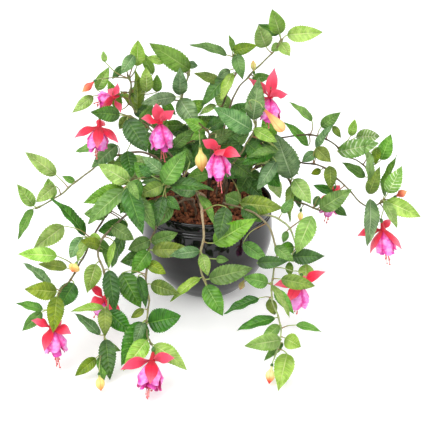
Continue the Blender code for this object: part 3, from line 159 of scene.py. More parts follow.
def on_sheet(point, turn):
    """Where a world point is seen on the sheet, once swung back by turn."""
    ray = swing(point, -turn) - EYE
    return Vector((SHEET_CENTRE + SHEET_DISTANCE * ray.dot(RIGHT) / ray.dot(AHEAD),
                   SHEET_CENTRE - SHEET_DISTANCE * ray.dot(UPWARD) / ray.dot(AHEAD)))


def table(text):
    """Rows of a comma-separated table: words stay words, the rest are whole numbers."""
    return [tuple(word if word.isalpha() else int(word) for word in row.split())
            for row in text.split(",")]


class Stem:
    """A stem: root azimuth (deg), root ring radius (mm), turn (deg), places and leaves.

    ends are the radii at root and tip. A place row is across, down, depth. A leaf row is base
    across and down, tip across and down, width, tone, base depth offset from the stem and tip
    depth change.
    """

    def __init__(self, name, azimuth, ring, turn, places, leaves,
                 bark="grey", ends=(0.0020, 0.0012), slot="foliage_mid"):
        self.name, self.turn, self.leaves = name, turn, table(leaves)
        self.bark, self.ends, self.slot = bark, ends, slot
        angle, radius = math.radians(azimuth + turn), ring / 1000.0
        root = Vector((radius * math.cos(angle), radius * math.sin(angle), ROOT_HEIGHT))
        points = [root, root + Vector((root.x * 0.02, root.y * 0.02, 0.009)),
                  root + Vector((root.x * 0.16, root.y * 0.16, 0.024))]
        points += [place(*p, turn) for p in table(places)]
        self.coarse = spline(points, COARSE_STEP)
        self.fine = spline(points, FINE_STEP)

    def nearest(self, across, down, number):
        """The stem's point seen nearest to a place; number keeps neighbours apart."""
        path = self.coarse
        aim = Vector((across, down))
        best = (1e9, 0, 0.0)
        for i in range(4, len(path) - 1):
            start, end = on_sheet(path[i], self.turn), on_sheet(path[i + 1], self.turn)
            run = end - start
            t = max(0.0, min(1.0, (aim - start).dot(run) / max(run.length_squared, 1e-9)))
            miss = (start + run * t - aim).length_squared
            if miss < best[0]:
                best = (miss, i, t)
        _, i, t = best
        span = (path[i + 1] - path[i]).length
        reach = t * span + ((number * 3) % 7 - 3) * 0.0006
        spare = 0.0022 + (number % 3) * 0.0012 if i == len(path) - 2 else 0.0006
        reach = max(0.0006, min(span - spare, reach))
        return path[i].lerp(path[i + 1], reach / span)


# Leaf tones: L pale lime with painted backlight, M mid green, D deep green with painted shade, O
# olive with painted backlight, B glaucous, S green with painted silvery sheen stripes
STEMS = [
    Stem("stem_left_upper", 172, 44, 0,
         """168 166 12, 142 152 8, 123 155 4, 112 156 0, 100 163 -5, 90 171 -10, 73 184 -18,
         60 195 -22, 50 201 -25, 37 208 -30""",
         """56 175 25 152 15 L 6 4, 51 199 48 178 14 L 4 6, 55 186 36 202 13 L -8 -12,
         34 206 17 184 13 L 2 8, 33 209 18 240 9 M -2 -14, 117 145 91 168 16 B -10 -16,
         97 146 75 152 8 M 8 10, 110 157 113 170 8 O 6 10, 75 182 62 176 7 M 6 8,
         160 162 140 176 16 M -4 -10, 153 157 159 138 15 D 4 8, 132 154 112 176 16 M -4 -10""",
         slot="foliage_lime"),
    Stem("stem_left_lower", 198, 42, 0,
         """172 190 -32, 146 186 -66, 122 198 -92, 107 215 -102, 100 225 -107, 93 237 -113,
         87 250 -124, 80 263 -140, 71 279 -166, 60 291 -194, 57 301 -214, 56 310 -232""",
         """85 236 51 198 11 D 8 26, 64 226 33 249 18 L -2 -10, 57 256 17 254 15 L -4 -8,
         67 268 38 264 11 O 4 10, 82 237 70 258 14 B -10 -14, 88 238 77 262 9 L -16 -14,
         50 286 23 263 9 B 6 20, 57 292 24 289 18 O -6 -10, 74 283 60 307 19 D -6 -12,
         57 296 53 333 17 O -26 -22, 43 310 16 303 9 M 4 8, 42 312 22 331 12 M -2 -6,
         90 236 102 241 10 L -6 -8, 128 225 98 231 18 D -16 -4, 127 229 112 268 12 D 2 -10,
         146 187 124 206 17 M -4 -10, 118 200 140 214 16 D -4 -10, 109 212 84 214 15 M 2 -6,
         91 240 112 252 13 M -2 -8""", bark="dark"),
    Stem("stem_front_left", 226, 46, 0,
         """184 196 -48, 156 200 -82, 128 214 -104, 108 232 -118, 100 243 -127, 98 255 -138,
         104 272 -152, 108 300 -188, 105 328 -222, 104 344 -242, 101 355 -256""",
         """96 264 87 293 17 L -8 -12, 102 249 109 269 6 M 4 4, 115 243 109 268 7 L -6 -8,
         109 270 115 312 17 D -14 -26, 104 308 70 312 8 L -6 -12, 100 335 74 313 10 B 2 16,
         105 308 105 337 14 O -16 -18, 108 311 131 333 18 D -4 -14, 106 339 110 381 17 D -8 -38,
         99 357 104 389 9 M -6 -36, 96 358 75 376 12 O -4 -20, 103 344 121 351 9 M 4 -6,
         156 201 140 222 16 M -4 -12, 140 206 164 216 15 D -2 -4, 112 226 134 240 15 M -4 -10,
         100 245 80 240 12 O 2 0""", slot="foliage_deep"),
    Stem("stem_front_left_centre", 248, 44, 0,
         """193 199 -46, 176 204 -76, 160 221 -98, 150 243 -110, 147 266 -126, 146 283 -146,
         149 299 -172, 147 318 -206, 147 334 -238, 151 344 -264""",
         """151 242 178 233 14 M -4 8, 152 250 190 249 16 O -6 -6, 149 251 131 275 17 M -6 -10,
         122 273 141 308 22 D -10 -24, 138 276 146 309 10 D -22 -14, 151 284 180 294 15 O -4 -12,
         148 323 181 316 24 D -6 -12, 144 322 121 366 24 D -8 -40, 143 322 134 345 11 B -22 -14,
         147 340 123 371 18 L -12 -36, 154 345 187 370 17 L -6 -30, 144 309 131 318 8 O 2 -4,
         172 205 152 228 15 M -8 -12, 150 240 128 250 15 M -2 -6, 147 262 166 274 12 O -2 -6,
         148 256 120 262 18 D 4 -4"""),
    Stem("stem_front_centre", 262, 30, 0,
         """205 197 -36, 198 193 -48, 200 201 -74, 202 212 -99, 203 225 -117, 204 236 -125,
         201 250 -134, 200 262 -142, 202 274 -150, 206 284 -160""",
         """196 191 166 189 16 B -4 -10, 199 195 214 225 9 M -10 -38, 200 251 169 256 12 B -2 -4,
         202 254 208 276 12 L -10 -12, 200 278 170 302 9 L -4 -12, 206 285 223 316 19 M -6 -22,
         214 243 257 218 22 M -10 -4, 209 279 253 268 19 M -8 -12, 216 259 229 260 8 M 2 0,
         226 207 218 240 18 D -28 -24""", bark="pale", ends=(0.0026, 0.0013)),
    Stem("stem_front_right", 300, 44, 0,
         """226 204 -52, 242 208 -78, 254 213 -94, 264 221 -104, 271 230 -112, 274 242 -121,
         277 252 -130, 274 270 -148, 272 284 -164, 272 300 -184, 278 316 -204, 281 330 -224,
         279 345 -244, 275 356 -258""",
         """243 243 268 261 14 M -12 -12, 257 263 289 261 13 D -8 -6, 268 283 243 277 15 M -4 -4,
         259 298 224 314 10 D -6 -18, 281 279 315 286 15 O -6 -8, 269 299 275 315 11 O 6 -4,
         275 290 294 314 12 M -14 -20, 271 285 290 318 8 L -26 -22, 275 318 236 331 11 D -4 -22,
         279 325 260 343 12 M -2 -16, 281 340 244 346 17 L -10 -24, 283 343 264 361 9 M 4 -14,
         285 338 301 347 16 L -4 -8, 296 325 322 332 8 M 2 -6, 287 354 278 397 20 L -12 -46,
         242 208 262 222 15 D -4 -8, 275 246 294 262 12 M -4 -6""",
         bark="sage", ends=(0.0017, 0.0011)),
    Stem("stem_right_lower", 332, 46, 0,
         """246 205 -46, 255 214 -66, 264 215 -78, 275 217 -84, 282 221 -88, 288 226 -92,
         294 238 -98, 297 250 -102""",
         """240 203 283 208 19 O 0 -10, 282 213 293 198 9 M 4 10, 312 216 296 254 19 L -12 -4,
         294 247 277 250 13 D 2 -2, 292 257 325 256 16 D -6 -8, 287 231 283 243 7 M 2 0,
         306 264 306 281 15 L 6 2, 289 262 290 277 8 M 10 2""", bark="sage"),
    Stem("stem_right_middle", 8, 46, 0,
         """238 184 -4, 256 167 -4, 275 168 -8, 291 183 -14, 293 199 -18, 307 205 -22,
         319 210 -25""",
         """292 178 276 134 26 B -10 8, 294 179 311 204 17 L -12 -18, 293 184 290 222 9 L -8 -16,
         296 190 300 208 8 D 4 -4, 333 192 313 185 9 D 10 6, 319 196 314 208 8 B 8 2,
         244 179 263 198 16 D -4 -10, 252 170 234 159 15 M 4 6, 262 167 280 187 17 D -6 -12,
         249 174 238 193 15 D -8 -10""", bark="dark"),
    Stem("stem_right_long", 24, 40, 0,
         """238 176 22, 262 160 26, 285 158 22, 303 163 16, 315 164 11, 326 169 5, 334 176 0,
         343 184 -5, 352 193 -11, 362 204 -18, 372 207 -22, 384 200 -24""",
         """316 148 331 162 14 O 6 -6, 315 152 302 162 10 B 6 -4, 321 170 311 174 7 O 4 0,
         330 166 331 191 13 O -4 -12, 320 209 352 189 18 M -26 2, 335 207 347 216 9 D -6 -4,
         370 199 367 247 15 B -6 -14, 386 201 421 217 17 L -6 -10, 384 201 397 228 10 L -12 -18,
         384 196 397 155 9 M 2 10, 388 193 402 166 16 S -8 2, 246 172 264 187 17 D -4 -10,
         257 163 249 145 15 D 4 8, 269 160 290 173 15 D -4 -8, 282 158 273 178 15 D -4 -8""",
         bark="dark", ends=(0.0017, 0.0010), slot="foliage_lime"),
    Stem("stem_right_upper", 48, 46, 0,
         """240 162 52, 262 143 56, 287 137 52, 300 135 48, 318 136 44, 334 144 40, 346 156 37,
         358 161 35, 366 168 33, 370 181 30""",
         """312 121 289 102 8 M 4 8, 321 127 341 112 12 M -4 4, 316 149 335 123 8 B -14 -6,
         333 126 341 138 7 O 6 0, 308 146 284 122 9 M 4 10, 351 136 355 119 9 L 6 8,
         356 137 380 136 15 S 2 -2, 338 152 379 143 18 S -12 -14, 381 160 391 134 15 M 4 8,
         377 147 375 165 9 O 2 -2, 369 180 364 144 9 M -10 -8, 365 177 341 162 10 M -2 4,
         369 194 380 166 13 O -6 2, 245 158 227 143 16 D 2 4, 252 151 261 127 16 D 4 8,
         263 143 286 158 17 D -4 -8, 273 140 263 117 15 M 4 8, 240 163 224 179 16 D 0 -8""",
         bark="dark", ends=(0.0017, 0.0010)),
    Stem("stem_top_right", 62, 30, 0,
         """217 168 30, 226 120 30, 236 92 28, 250 75 24, 263 62 20, 275 50 17, 282 40 14""",
         """252 79 271 76 10 M 4 0, 266 47 258 25 18 L -4 -4, 279 34 258 24 10 D 4 10,
         280 34 272 9 16 L -4 2, 287 35 323 32 16 L -2 -8, 281 43 290 56 12 L -4 -8,
         280 44 271 51 9 L 2 0, 228 118 250 103 16 D 4 6, 224 128 199 117 16 D 4 4,
         222 140 247 129 17 D 6 2, 219 151 196 141 16 D 6 0, 218 160 241 153 16 M 4 -2,
         230 108 214 92 14 M 4 8""", ends=(0.0018, 0.0011), slot="foliage_lime"),
    Stem("stem_top_centre", 80, 12, 0,
         """209 172 2, 213 140 -2, 220 112 -8, 231 84 -14, 236 72 -16, 234 56 -18""",
         """227 55 189 45 9 M 0 -8, 234 52 229 35 6 M 2 4, 233 51 258 45 12 O -4 -8,
         236 54 243 80 13 M -10 -16, 230 70 217 78 9 B 4 2, 233 73 221 102 10 L -12 -18,
         220 82 194 73 10 O 6 4, 226 77 201 107 13 D 2 -4, 216 105 199 115 7 L -6 -6""",
         bark="dark"),
    Stem("stem_top_right_centre", 345, 26, 0,
         """228 172 -26, 243 150 -40, 254 131 -50, 256 123 -54""",
         """252 130 213 107 21 B -10 -14, 253 120 259 77 19 B -4 6, 254 129 277 142 12 L -8 -14,
         276 150 241 165 14 D 4 -12, 276 161 257 190 14 B -6 -14, 278 150 248 157 9 M -12 -14,
         240 203 225 195 18 M -26 -6, 241 153 222 146 15 D 4 2, 247 143 264 158 16 D -2 -8,
         234 163 252 177 16 D -4 -10"""),
    Stem("stem_top_left", 122, 28, 0,
         """200 165 14, 190 130 6, 182 100 0, 186 84 0, 189 72 0""",
         """190 70 149 43 20 M 0 -6, 176 97 141 104 13 B -26 -14, 180 95 180 67 15 B -10 -6,
         180 99 198 128 20 B -14 -20, 183 125 157 126 11 M -4 -6, 163 103 176 115 10 D 2 -2,
         174 147 194 128 12 M -16 -4, 165 62 147 57 9 L 12 10, 188 64 198 66 8 B 6 8,
         197 155 219 141 16 D 6 4, 195 147 170 157 17 D 4 -2, 191 135 167 126 16 D 6 2,
         189 128 211 117 15 M 8 6, 186 113 206 100 15 M 6 8, 194 142 211 161 16 D -6 -10,
         197 152 182 172 15 D -8 -12"""),
    Stem("stem_upper_left", 150, 46, 0,
         """186 168 38, 162 137 42, 148 123 38, 139 116 35, 130 101 31, 131 84 28, 128 76 26""",
         """93 96 72 113 11 L -6 -8, 97 90 109 67 12 L 2 4, 119 110 108 80 12 M 4 12,
         123 66 112 79 8 D 6 0, 134 55 121 74 12 B -6 -10, 137 66 138 40 15 L 0 6,
         153 74 139 50 10 M 6 8, 137 110 135 69 11 O -10 -2, 147 92 146 67 13 L -6 2,
         157 92 157 74 10 M 4 4, 137 109 120 91 8 O 8 10, 105 62 103 51 6 L 2 2,
         176 155 151 161 17 D 4 -2, 165 141 143 147 16 D 2 -2, 156 131 166 112 15 M 6 6,
         149 124 128 134 15 D 4 -4, 143 119 151 98 14 M 6 8, 172 150 190 136 15 D 4 4,
         134 108 152 117 13 D 4 -2, 131 96 148 84 12 M 6 6"""),
    Stem("stem_left_crown", 186, 28, 0,
         """182 170 -10, 163 146 -18, 150 129 -26, 140 121 -32, 128 116 -36""",
         """120 115 90 112 16 D -16 -12, 128 117 119 129 11 O 4 0, 127 119 147 152 22 D -14 -20,
         127 151 132 178 16 D -8 -14, 140 122 152 106 9 M 6 4, 176 162 157 173 16 D -2 -8,
         168 152 189 149 15 D 6 4, 158 140 167 120 15 M 6 8"""),
    Stem("stem_left_middle", 214, 28, 0,
         """186 185 -34, 162 177 -60, 142 178 -80, 127 184 -94""",
         """129 182 98 164 18 L -4 4, 124 188 83 203 18 M -4 -8, 124 190 88 224 18 M -16 -14,
         127 187 143 235 20 D -16 -26, 129 181 139 200 9 M -26 -14, 138 197 155 231 14 M -20 -18,
         170 180 150 196 16 D -4 -10, 150 178 134 162 16 M 4 8, 140 180 120 214 18 M -14 -16"""),
    Stem("stem_centre_left", 236, 22, 0,
         """193 190 -40, 179 181 -60, 166 184 -80""",
         """163 196 157 228 12 D -14 -26, 163 185 137 196 15 O -8 -8, 163 182 140 183 8 D 4 -2,
         163 184 186 150 20 M -8 6, 163 173 142 156 13 B 4 10, 152 176 138 165 10 D 12 8,
         166 197 180 210 10 D -10 -14, 169 184 214 190 13 D -6 -10, 190 162 184 147 10 D 16 10""",
         slot="foliage_deep"),
    Stem("stem_centre", 275, 12, 0,
         """209 178 -28, 211 150 -44, 208 132 -58, 200 124 -66""",
         """205 131 190 140 9 M 4 -4, 210 128 226 118 12 D 6 10, 212 146 240 143 12 D 14 8,
         216 168 240 178 14 D 6 -14, 214 160 236 160 11 D 22 4, 209 173 187 177 15 M -2 -4,
         210 165 233 171 16 D 4 -2, 211 154 189 160 14 D 10 2, 209 140 233 131 15 M 8 8,
         206 130 184 119 14 M 6 10""", bark="dark"),
    Stem("stem_rear_left", 285, 46, 180,
         """232 200 -56, 250 196 -84, 266 208 -110, 274 226 -126, 280 250 -150, 276 274 -170,
         270 296 -186""",
         """232 186 214 168 16 M -6 10, 262 202 296 196 18 M -6 -6, 268 212 244 232 17 D -8 -12,
         276 232 306 246 18 L -6 -10, 280 250 250 262 17 M -8 -8, 279 258 304 282 17 D -8 -14,
         275 276 246 292 16 O -6 -12, 271 294 276 326 18 L -8 -16, 258 184 284 168 15 B 4 8"""),
    Stem("stem_rear", 265, 44, 180,
         """205 196 -56, 206 188 -86, 204 200 -112, 200 222 -132, 196 246 -152, 198 268 -168""",
         """206 188 236 172 17 M -4 4, 205 190 180 176 17 L -4 4, 204 202 226 224 17 D -10 -12,
         202 212 172 226 18 M -8 -10, 199 232 226 250 16 M -8 -10, 197 246 170 262 16 D -6 -10,
         198 264 208 298 18 M -8 -16""", bark="dark", slot="foliage_deep"),
    Stem("stem_rear_right", 238, 46, 180,
         """180 194 -56, 160 190 -84, 144 202 -108, 134 222 -124, 126 244 -144, 124 266 -166,
         128 286 -184""",
         """176 184 160 160 17 M -4 10, 158 192 128 180 18 L -6 2, 146 202 164 226 17 D -8 -12,
         137 218 106 222 18 M -8 -8, 130 234 152 254 17 O -8 -12, 125 252 96 268 17 M -6 -12,
         126 276 148 298 17 D -8 -12, 128 285 116 316 17 L -6 -14"""),
]
STEM_NAMED = {stem.name: stem for stem in STEMS}

# tip is the end of the longest stamen; a sepal tip is across, down, depth from the neck's
Flower = namedtuple("Flower", "name stem socket neck tip size sepals")
FLOWERS = [
    Flower("flower_left", "stem_left_lower", (54, 312, -238), (52, 328, -241), (59, 367, -258),
           1.02, table("31 321 2, 45 352 -34, 71 335 -18, 62 322 30")),
    Flower("flower_front_left", "stem_front_left", (108, 288, -160), (104, 299, -164),
           (95, 317, -172), 0.95, table("89 286 6, 90 306 -26, 119 318 -24, 117 288 14")),
    Flower("flower_front_low", "stem_front_left_centre", (153, 347, -274), (152, 361, -294),
           (148, 398, -330), 1.06, table("121 371 -14, 150 385 -43, 174 360 -14, 160 357 22")),
    Flower("flower_front_right", "stem_front_right", (292, 271, -138), (300, 285, -138),
           (296, 313, -142), 1.05, table("326 273 -8, 288 303 -30, 274 286 4, 308 278 30")),
    Flower("flower_right_middle", "stem_right_long", (335, 182, 10), (333, 195, 10),
           (326, 222, 8), 0.9, table("349 196 -6, 319 205 -12, 340 186 26, 330 212 -24")),
    Flower("flower_right", "stem_right_long", (384, 209, -28), (383, 230, -30), (389, 264, -36),
           1.06, table("391 220 22, 401 250 -14, 371 254 -14, 358 237 6")),
    Flower("flower_top_right", "stem_top_right_centre", (259, 88, -30), (270, 98, -36),
           (268, 127, -46), 1.05, table("275 69 -4, 288 95 -30, 248 80 2, 262 105 26")),
    Flower("flower_upper_left", "stem_top_left", (158, 104, -44), (160, 123, -48),
           (164, 161, -54), 1.08, table("141 120 -20, 156 104 -16, 175 112 -14, 166 116 26")),
    Flower("flower_far_upper_left", "stem_upper_left", (122, 92, 14), (113, 98, 10),
           (95, 104, 2), 0.9, table("120 113 2, 101 107 -22, 117 83 6, 106 90 30")),
    Flower("flower_left_crown", "stem_left_crown", (108, 112, -42), (99, 127, -46),
           (96, 158, -53), 0.98, table("75 139 -8, 97 149 -32, 117 144 -8, 104 122 30")),
    Flower("flower_centre", "stem_centre", (216, 134, -78), (217, 151, -82), (221, 192, -88),
           1.08, table("202 142 -28, 240 158 -18, 223 157 -38, 216 146 26")),
    Flower("flower_rear", "stem_rear_left", (288, 262, -160), (289, 277, -162),
           (290, 311, -164), 1.0, table("268 281 -12, 294 300 -30, 311 284 -10, 286 270 28")),
]

# radius in mm
Bud = namedtuple("Bud", "name stem socket neck tip radius skin", defaults=["cream"])
BUDS = [
    Bud("bud_left", "stem_left_lower", (82, 259, -148), (77, 262, -154), (72, 272, -168), 8.5),
    Bud("bud_front_left", "stem_front_left", (100, 360, -266), (99, 373, -282),
        (101, 391, -306), 6.6),
    Bud("bud_front_right", "stem_front_right", (274, 359, -264), (272, 364, -268),
        (269, 384, -290), 7.0, "red_tip"),
    Bud("bud_right_middle", "stem_right_middle", (303, 206, -30), (301, 209, -31),
        (300, 221, -33), 4.6),
    Bud("bud_far_right", "stem_right_long", (390, 199, -22), (394, 197, -22),
        (407, 191, -20), 6.0, "coral"),
    Bud("bud_top", "stem_top_right", (254, 77, 18), (254, 74, 18), (253, 60, 18), 4.6, "green"),
    Bud("bud_top_right", "stem_top_right_centre", (249, 101, -62), (263, 108, -66),
        (284, 131, -70), 8.2, "peach"),
    Bud("bud_upper_left", "stem_upper_left", (103, 79, 20), (96, 80, 18), (82, 92, 14),
        5.6, "coral"),
    Bud("bud_centre", "stem_centre", (199, 131, -76), (200, 145, -77), (202, 172, -79),
        9.6, "pale"),
]


# ------------------------------------------------------------------ flower and bud places
def hang_points(item):
    """Socket, neck and tip of a flower or a bud."""
    turn = STEM_NAMED[item.stem].turn
    return [place(*p, turn) for p in (item.socket, item.neck, item.tip)]


def flower_points(flower):
    """Socket, neck and stamen tip, the stamen kept off the floor."""
    socket, neck, tip = hang_points(flower)
    tip.z = max(tip.z, STAMEN_LOW)
    return socket, neck, tip


def sepal_line(flower, i):
    """Root, bulge and tip of a sepal, its way out from the axis, its way across, its length."""
    _, neck, stamen = flower_points(flower)
    axis = (stamen - neck).normalized()
    across, down, depth = flower.sepals[i]
    tip = place(across, down, flower.neck[2] + depth, STEM_NAMED[flower.stem].turn)
    tip.z = max(tip.z, SEPAL_LOW)
    out = ((tip - neck) - axis * (tip - neck).dot(axis)).normalized()
    side = axis.cross(out).normalized()
    root = neck - axis * (0.0016 * flower.size) + out * (0.0010 * flower.size)
    way = tip - root
    length = way.length
    bulge = root.lerp(tip, 0.47) + side.cross(way / length) * (0.10 * length)
    return root, bulge, tip, out, side, length


# ------------------------------------------------------------------ settling on the solids
# Shifts (mm) and sizes an item may have been given in the CAD, in the order they are tried
HANG_SHIFTS = (0, -5, 5, -10, 10, -15, 15, -20, 20, -26, 26, -32, 32)
# Leaves: shift of the base's depth, shift of the tip's depth
LEAF_SHIFTS = table("""0 0, 0 -8, 0 8, -6 -6, 6 6, 0 -16, 0 16, -12 -12, 12 12, -6 -20, 6 20,
    -6 10, 6 -10, -12 -26, 12 26, -20 -20, 20 20, 0 -28, 0 28, -12 8, 12 -8, -28 -28, 28 28,
    -20 -36, 20 36, 0 -40, 0 40""")
LEAF_SIZES = (1.0, 0.86, 0.72, 0.58)
LEAF_CLOSE, LEAF_SURE, LEAF_FAR = 0.0004, 0.00006, 0.0012   # misses: worth a look, sure, lost

LeafFrame = namedtuple("LeafFrame", "base tip normal width")


def corners_of(name):
    """Search tree over the corners of a CAD node."""
    vertices = NODES[name].data.vertices
    coords = np.zeros(len(vertices) * 3)
    vertices.foreach_get("co", coords)
    coords = coords.reshape(-1, 3)
    tree = KDTree(len(coords))
    for i, p in enumerate(coords):
        tree.insert(p, i)
    tree.balance()
    return tree


def miss(tree, point):
    return tree.find(point)[2]


def leaf_frame(stem, hold, leaf, shifts, size):
    """Base, tip, normal and width of a leaf for one pair of depth shifts and one size."""
    base_x, base_y, tip_x, tip_y, wide, _, base_offset, tip_change = leaf
    base_depth = swing(hold, -stem.turn).y * 1000.0 + base_offset + shifts[0]
    tip_depth = base_depth - shifts[0] + tip_change + shifts[1]
    base = place(base_x, base_y, base_depth, stem.turn)
    tip = place(tip_x, tip_y, tip_depth, stem.turn)
    tip = base + (tip - base) * size
    tip.z = max(tip.z, LEAF_LOW)
    base.z = max(base.z, LEAF_LOW)
    axis = tip - base
    length = axis.length
    axis = axis / length
    to_eye = swing(EYE, stem.turn) - (base + tip) / 2
    view = to_eye.normalized()
    facing = (view - axis * view.dot(axis)).normalized()
    # a leaf that looks narrow on the sheet is a wider one, rolled edge on
    seen = wide * (to_eye.length / SHEET_DISTANCE) * size
    width = max(seen, 0.40 * length)
    roll = math.acos(max(-1.0, min(1.0, seen / width)))
    normal = max((Matrix.Rotation(roll * s, 3, axis) @ facing for s in (1, -1)),
                 key=lambda n: n.z)
    return LeafFrame(base, tip, normal.normalized(), width)


def settled_leaf(stem, hold, leaf, tree):
    """The place whose tip and widest points are corners of the stem's solid, or None."""
    best, best_frame = 1e9, None
    for size in LEAF_SIZES:
        for shifts in LEAF_SHIFTS:
            found = leaf_frame(stem, hold, leaf, shifts, size)
            gap = miss(tree, found.tip)
            if gap < LEAF_CLOSE:
                axis = (found.tip - found.base).normalized()
                half = axis.cross(found.normal) * (found.width * 0.5)
                length = (found.tip - found.base).length
                widest = 0.46 if length < 0.024 else 0.38
                centre = (found.base + axis * (length * widest)
                          + found.normal * (length * 0.05 - LEAF_HALF_THICK * 0.5))
                sides = min(miss(tree, centre + half), miss(tree, centre - half))
                gap += 0.2 * min(0.002, sides)
            if gap < best - 1e-7:
                best, best_frame = gap, found
            if gap < LEAF_SURE:
                return found
    return best_frame if best < LEAF_FAR else None


def settled_hanging(item):
    """The flower or bud moved in depth to where its solid is."""
    flower = isinstance(item, Flower)
    tree = corners_of(item.name + "_calyx" if flower else item.name)

    def moved(shift):
        return item._replace(**{key: (*getattr(item, key)[:2], getattr(item, key)[2] + shift)
                                for key in ("socket", "neck", "tip")})

    def gap(shift):
        tried = moved(shift)
        return miss(tree, sepal_line(tried, 0)[2] if flower else hang_points(tried)[2])

    return moved(min(HANG_SHIFTS, key=gap))


# ------------------------------------------------------------------ meshes
def new_mesh(name, points, corners, starts):
    mesh = bpy.data.meshes.new(name)
    mesh.vertices.add(len(points))
    mesh.vertices.foreach_set("co", points.astype(np.float32).ravel())
    mesh.loops.add(len(corners))
    mesh.loops.foreach_set("vertex_index", corners.astype(np.int32))
    mesh.polygons.add(len(starts))
    mesh.polygons.foreach_set("loop_start", starts.astype(np.int32))
    return mesh


def add_attribute(mesh, name, domain, values):
    attribute = mesh.attributes.new(name, "FLOAT", domain)
    attribute.data.foreach_set("value", values.astype(np.float32))


def add_object(name, data):
    obj = bpy.data.objects.new(name, data)
    bpy.context.scene.collection.objects.link(obj)
    return obj


def carry(obj, node):
    """The piece stands for a CAD node and rides on its body."""
    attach(obj, BODY_OF[node])
    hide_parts(node)


class Skins:
    """Closed shells and tubes gathered into one mesh, with a UV map and a seed for each."""

    def __init__(self):
        self.points, self.seeds = [], []
        self.faces = {4: [], 3: []}    # by corner count: (corners, uv, slot, under)
        self.count = 0

    def add_points(self, blocks, seed):
        total = sum(len(block) for block in blocks)
        self.points += blocks
        self.seeds.append(np.full(total, seed))
        self.count += total

    def shell(self, grid, uv, slot, seed, thick):
        """A sheet with an underside: they share their margin and are thick apart inside it."""
        rows, cols = grid.shape[:2]
        normal = np.cross(np.gradient(grid, axis=1), np.gradient(grid, axis=0))
        normal /= np.maximum(np.linalg.norm(normal, axis=2), 1e-12)[..., None]
        inner = grid[1:-1, 1:-1] - normal[1:-1, 1:-1] * thick
        top = np.arange(rows * cols).reshape(rows, cols) + self.count
        low = top.copy()
        low[1:-1, 1:-1] = (np.arange((rows - 2) * (cols - 2)).reshape(rows - 2, cols - 2)
                           + self.count + rows * cols)
        self.add_points([grid.reshape(-1, 3), inner.reshape(-1, 3)], seed)

        def around(cells, axis):
            return np.stack([cells[:-1, :-1], cells[:-1, 1:], cells[1:, 1:], cells[1:, :-1]],
                            axis)

        corners_uv = around(uv, -2).reshape(-1, 4, 2)
        self.faces[4].append((around(top, -1).reshape(-1, 4), corners_uv, slot, 0.0))
        self.faces[4].append((around(low, -1).reshape(-1, 4)[:, ::-1], corners_uv[:, ::-1],
                              slot, 1.0))

    def loft(self, rings, slot, seed, v0=0.0, v1=1.0):
        """Closed skin through rings of points with a cap at each end."""
        rings = np.asarray(rings, float)
        count, sides = rings.shape[:2]
        index = np.arange(count * sides).reshape(count, sides) + self.count
        after = np.roll(index, -1, axis=1)
        centre = self.count + count * sides
        self.add_points([rings.reshape(-1, 3), np.array([rings[0].mean(0), rings[-1].mean(0)])],
                        seed)
        quads = np.stack([index[:-1], after[:-1], after[1:], index[1:]], -1).reshape(-1, 4)
        us = np.linspace(0, 1, sides + 1)
        vs = np.linspace(v0, v1, count)
        left, low = np.meshgrid(us[:-1], vs[:-1])
        right, high = np.meshgrid(us[1:], vs[1:])
        uv = np.stack([np.stack(pair, -1) for pair in
                       ((left, low), (right, low), (right, high), (left, high))], -2)
        self.faces[4].append((quads, uv.reshape(-1, 4, 2), slot, 0.0))
        for first, second, middle, v in ((after[0], index[0], centre, v0),
                                         (index[-1], after[-1], centre + 1, v1)):
            cap_uv = np.full((sides, 3, 2), 0.5)
            cap_uv[..., 1] = v
            self.faces[3].append((np.stack([first, second, np.full(sides, middle)], -1),
                                  cap_uv, slot, 0.0))

    def tube(self, path, radii, sides, slot, seed, v0=0.0, v1=1.0, lobes=0, depth=0.0):
        """A round skin along a path; lobes and depth flute it."""
        angle = np.linspace(0, 2 * math.pi, sides, endpoint=False)
        flute = 1.0 + depth * np.cos(lobes * angle)
        rings = []
        for p, radius, tangent, side in zip(path, radii, *frames(path)):
            r = radius * flute
            rings.append(arr(p) + np.outer(np.cos(angle) * r, arr(side))
                         + np.outer(np.sin(angle) * r, arr(tangent.cross(side))))
        self.loft(rings, slot, seed, v0, v1)

    def turned(self, start, axis, profile, sides, slot, seed, **options):
        """A straight tube through (distance along the axis, radius)."""
        self.tube([start + axis * z for z, _ in profile], [r for _, r in profile], sides, slot,
                  seed, **options)

    def object(self, name, materials, low=None):
        """One object; points under the height low are lifted to it."""
        points = np.concatenate(self.points)
        if low is not None:
            points[:, 2] = np.maximum(points[:, 2], low)
        quads, triangles = (np.concatenate([f[0] for f in self.faces[k]]) for k in (4, 3))
        faces = self.faces[4] + self.faces[3]
        mesh = new_mesh(name, points, np.concatenate([quads.ravel(), triangles.ravel()]),
                        np.concatenate([np.arange(len(quads)) * 4,
                                        len(quads) * 4 + np.arange(len(triangles)) * 3]))
        slots = np.concatenate([np.full(len(f[0]), f[2]) for f in faces])
        mesh.polygons.foreach_set("material_index", slots.astype(np.int32))
        uv = np.concatenate([f[1].reshape(-1, 2) for f in faces])
        mesh.uv_layers.new(name="map").data.foreach_set("uv", uv.astype(np.float32).ravel())
        add_attribute(mesh, "seed", "POINT", np.concatenate(self.seeds))
        add_attribute(mesh, "under", "FACE",
                      np.concatenate([np.full(len(f[0]), f[3]) for f in faces]))
        mesh.update(calc_edges=True)
        mesh.validate()
        mesh.shade_smooth()
        mesh.set_sharp_from_angle(angle=math.radians(62))
        for material in materials:
            mesh.materials.append(material)
        return add_object(name, mesh)


# ------------------------------------------------------------------ material tools
def lin(red, green, blue):
    """Display colour (0..255) as linear light."""
    shares = (c / 255.0 for c in (red, green, blue))
    return (*(c / 12.92 if c <= 0.04045 else ((c + 0.055) / 1.055) ** 2.4 for c in shares), 1.0)


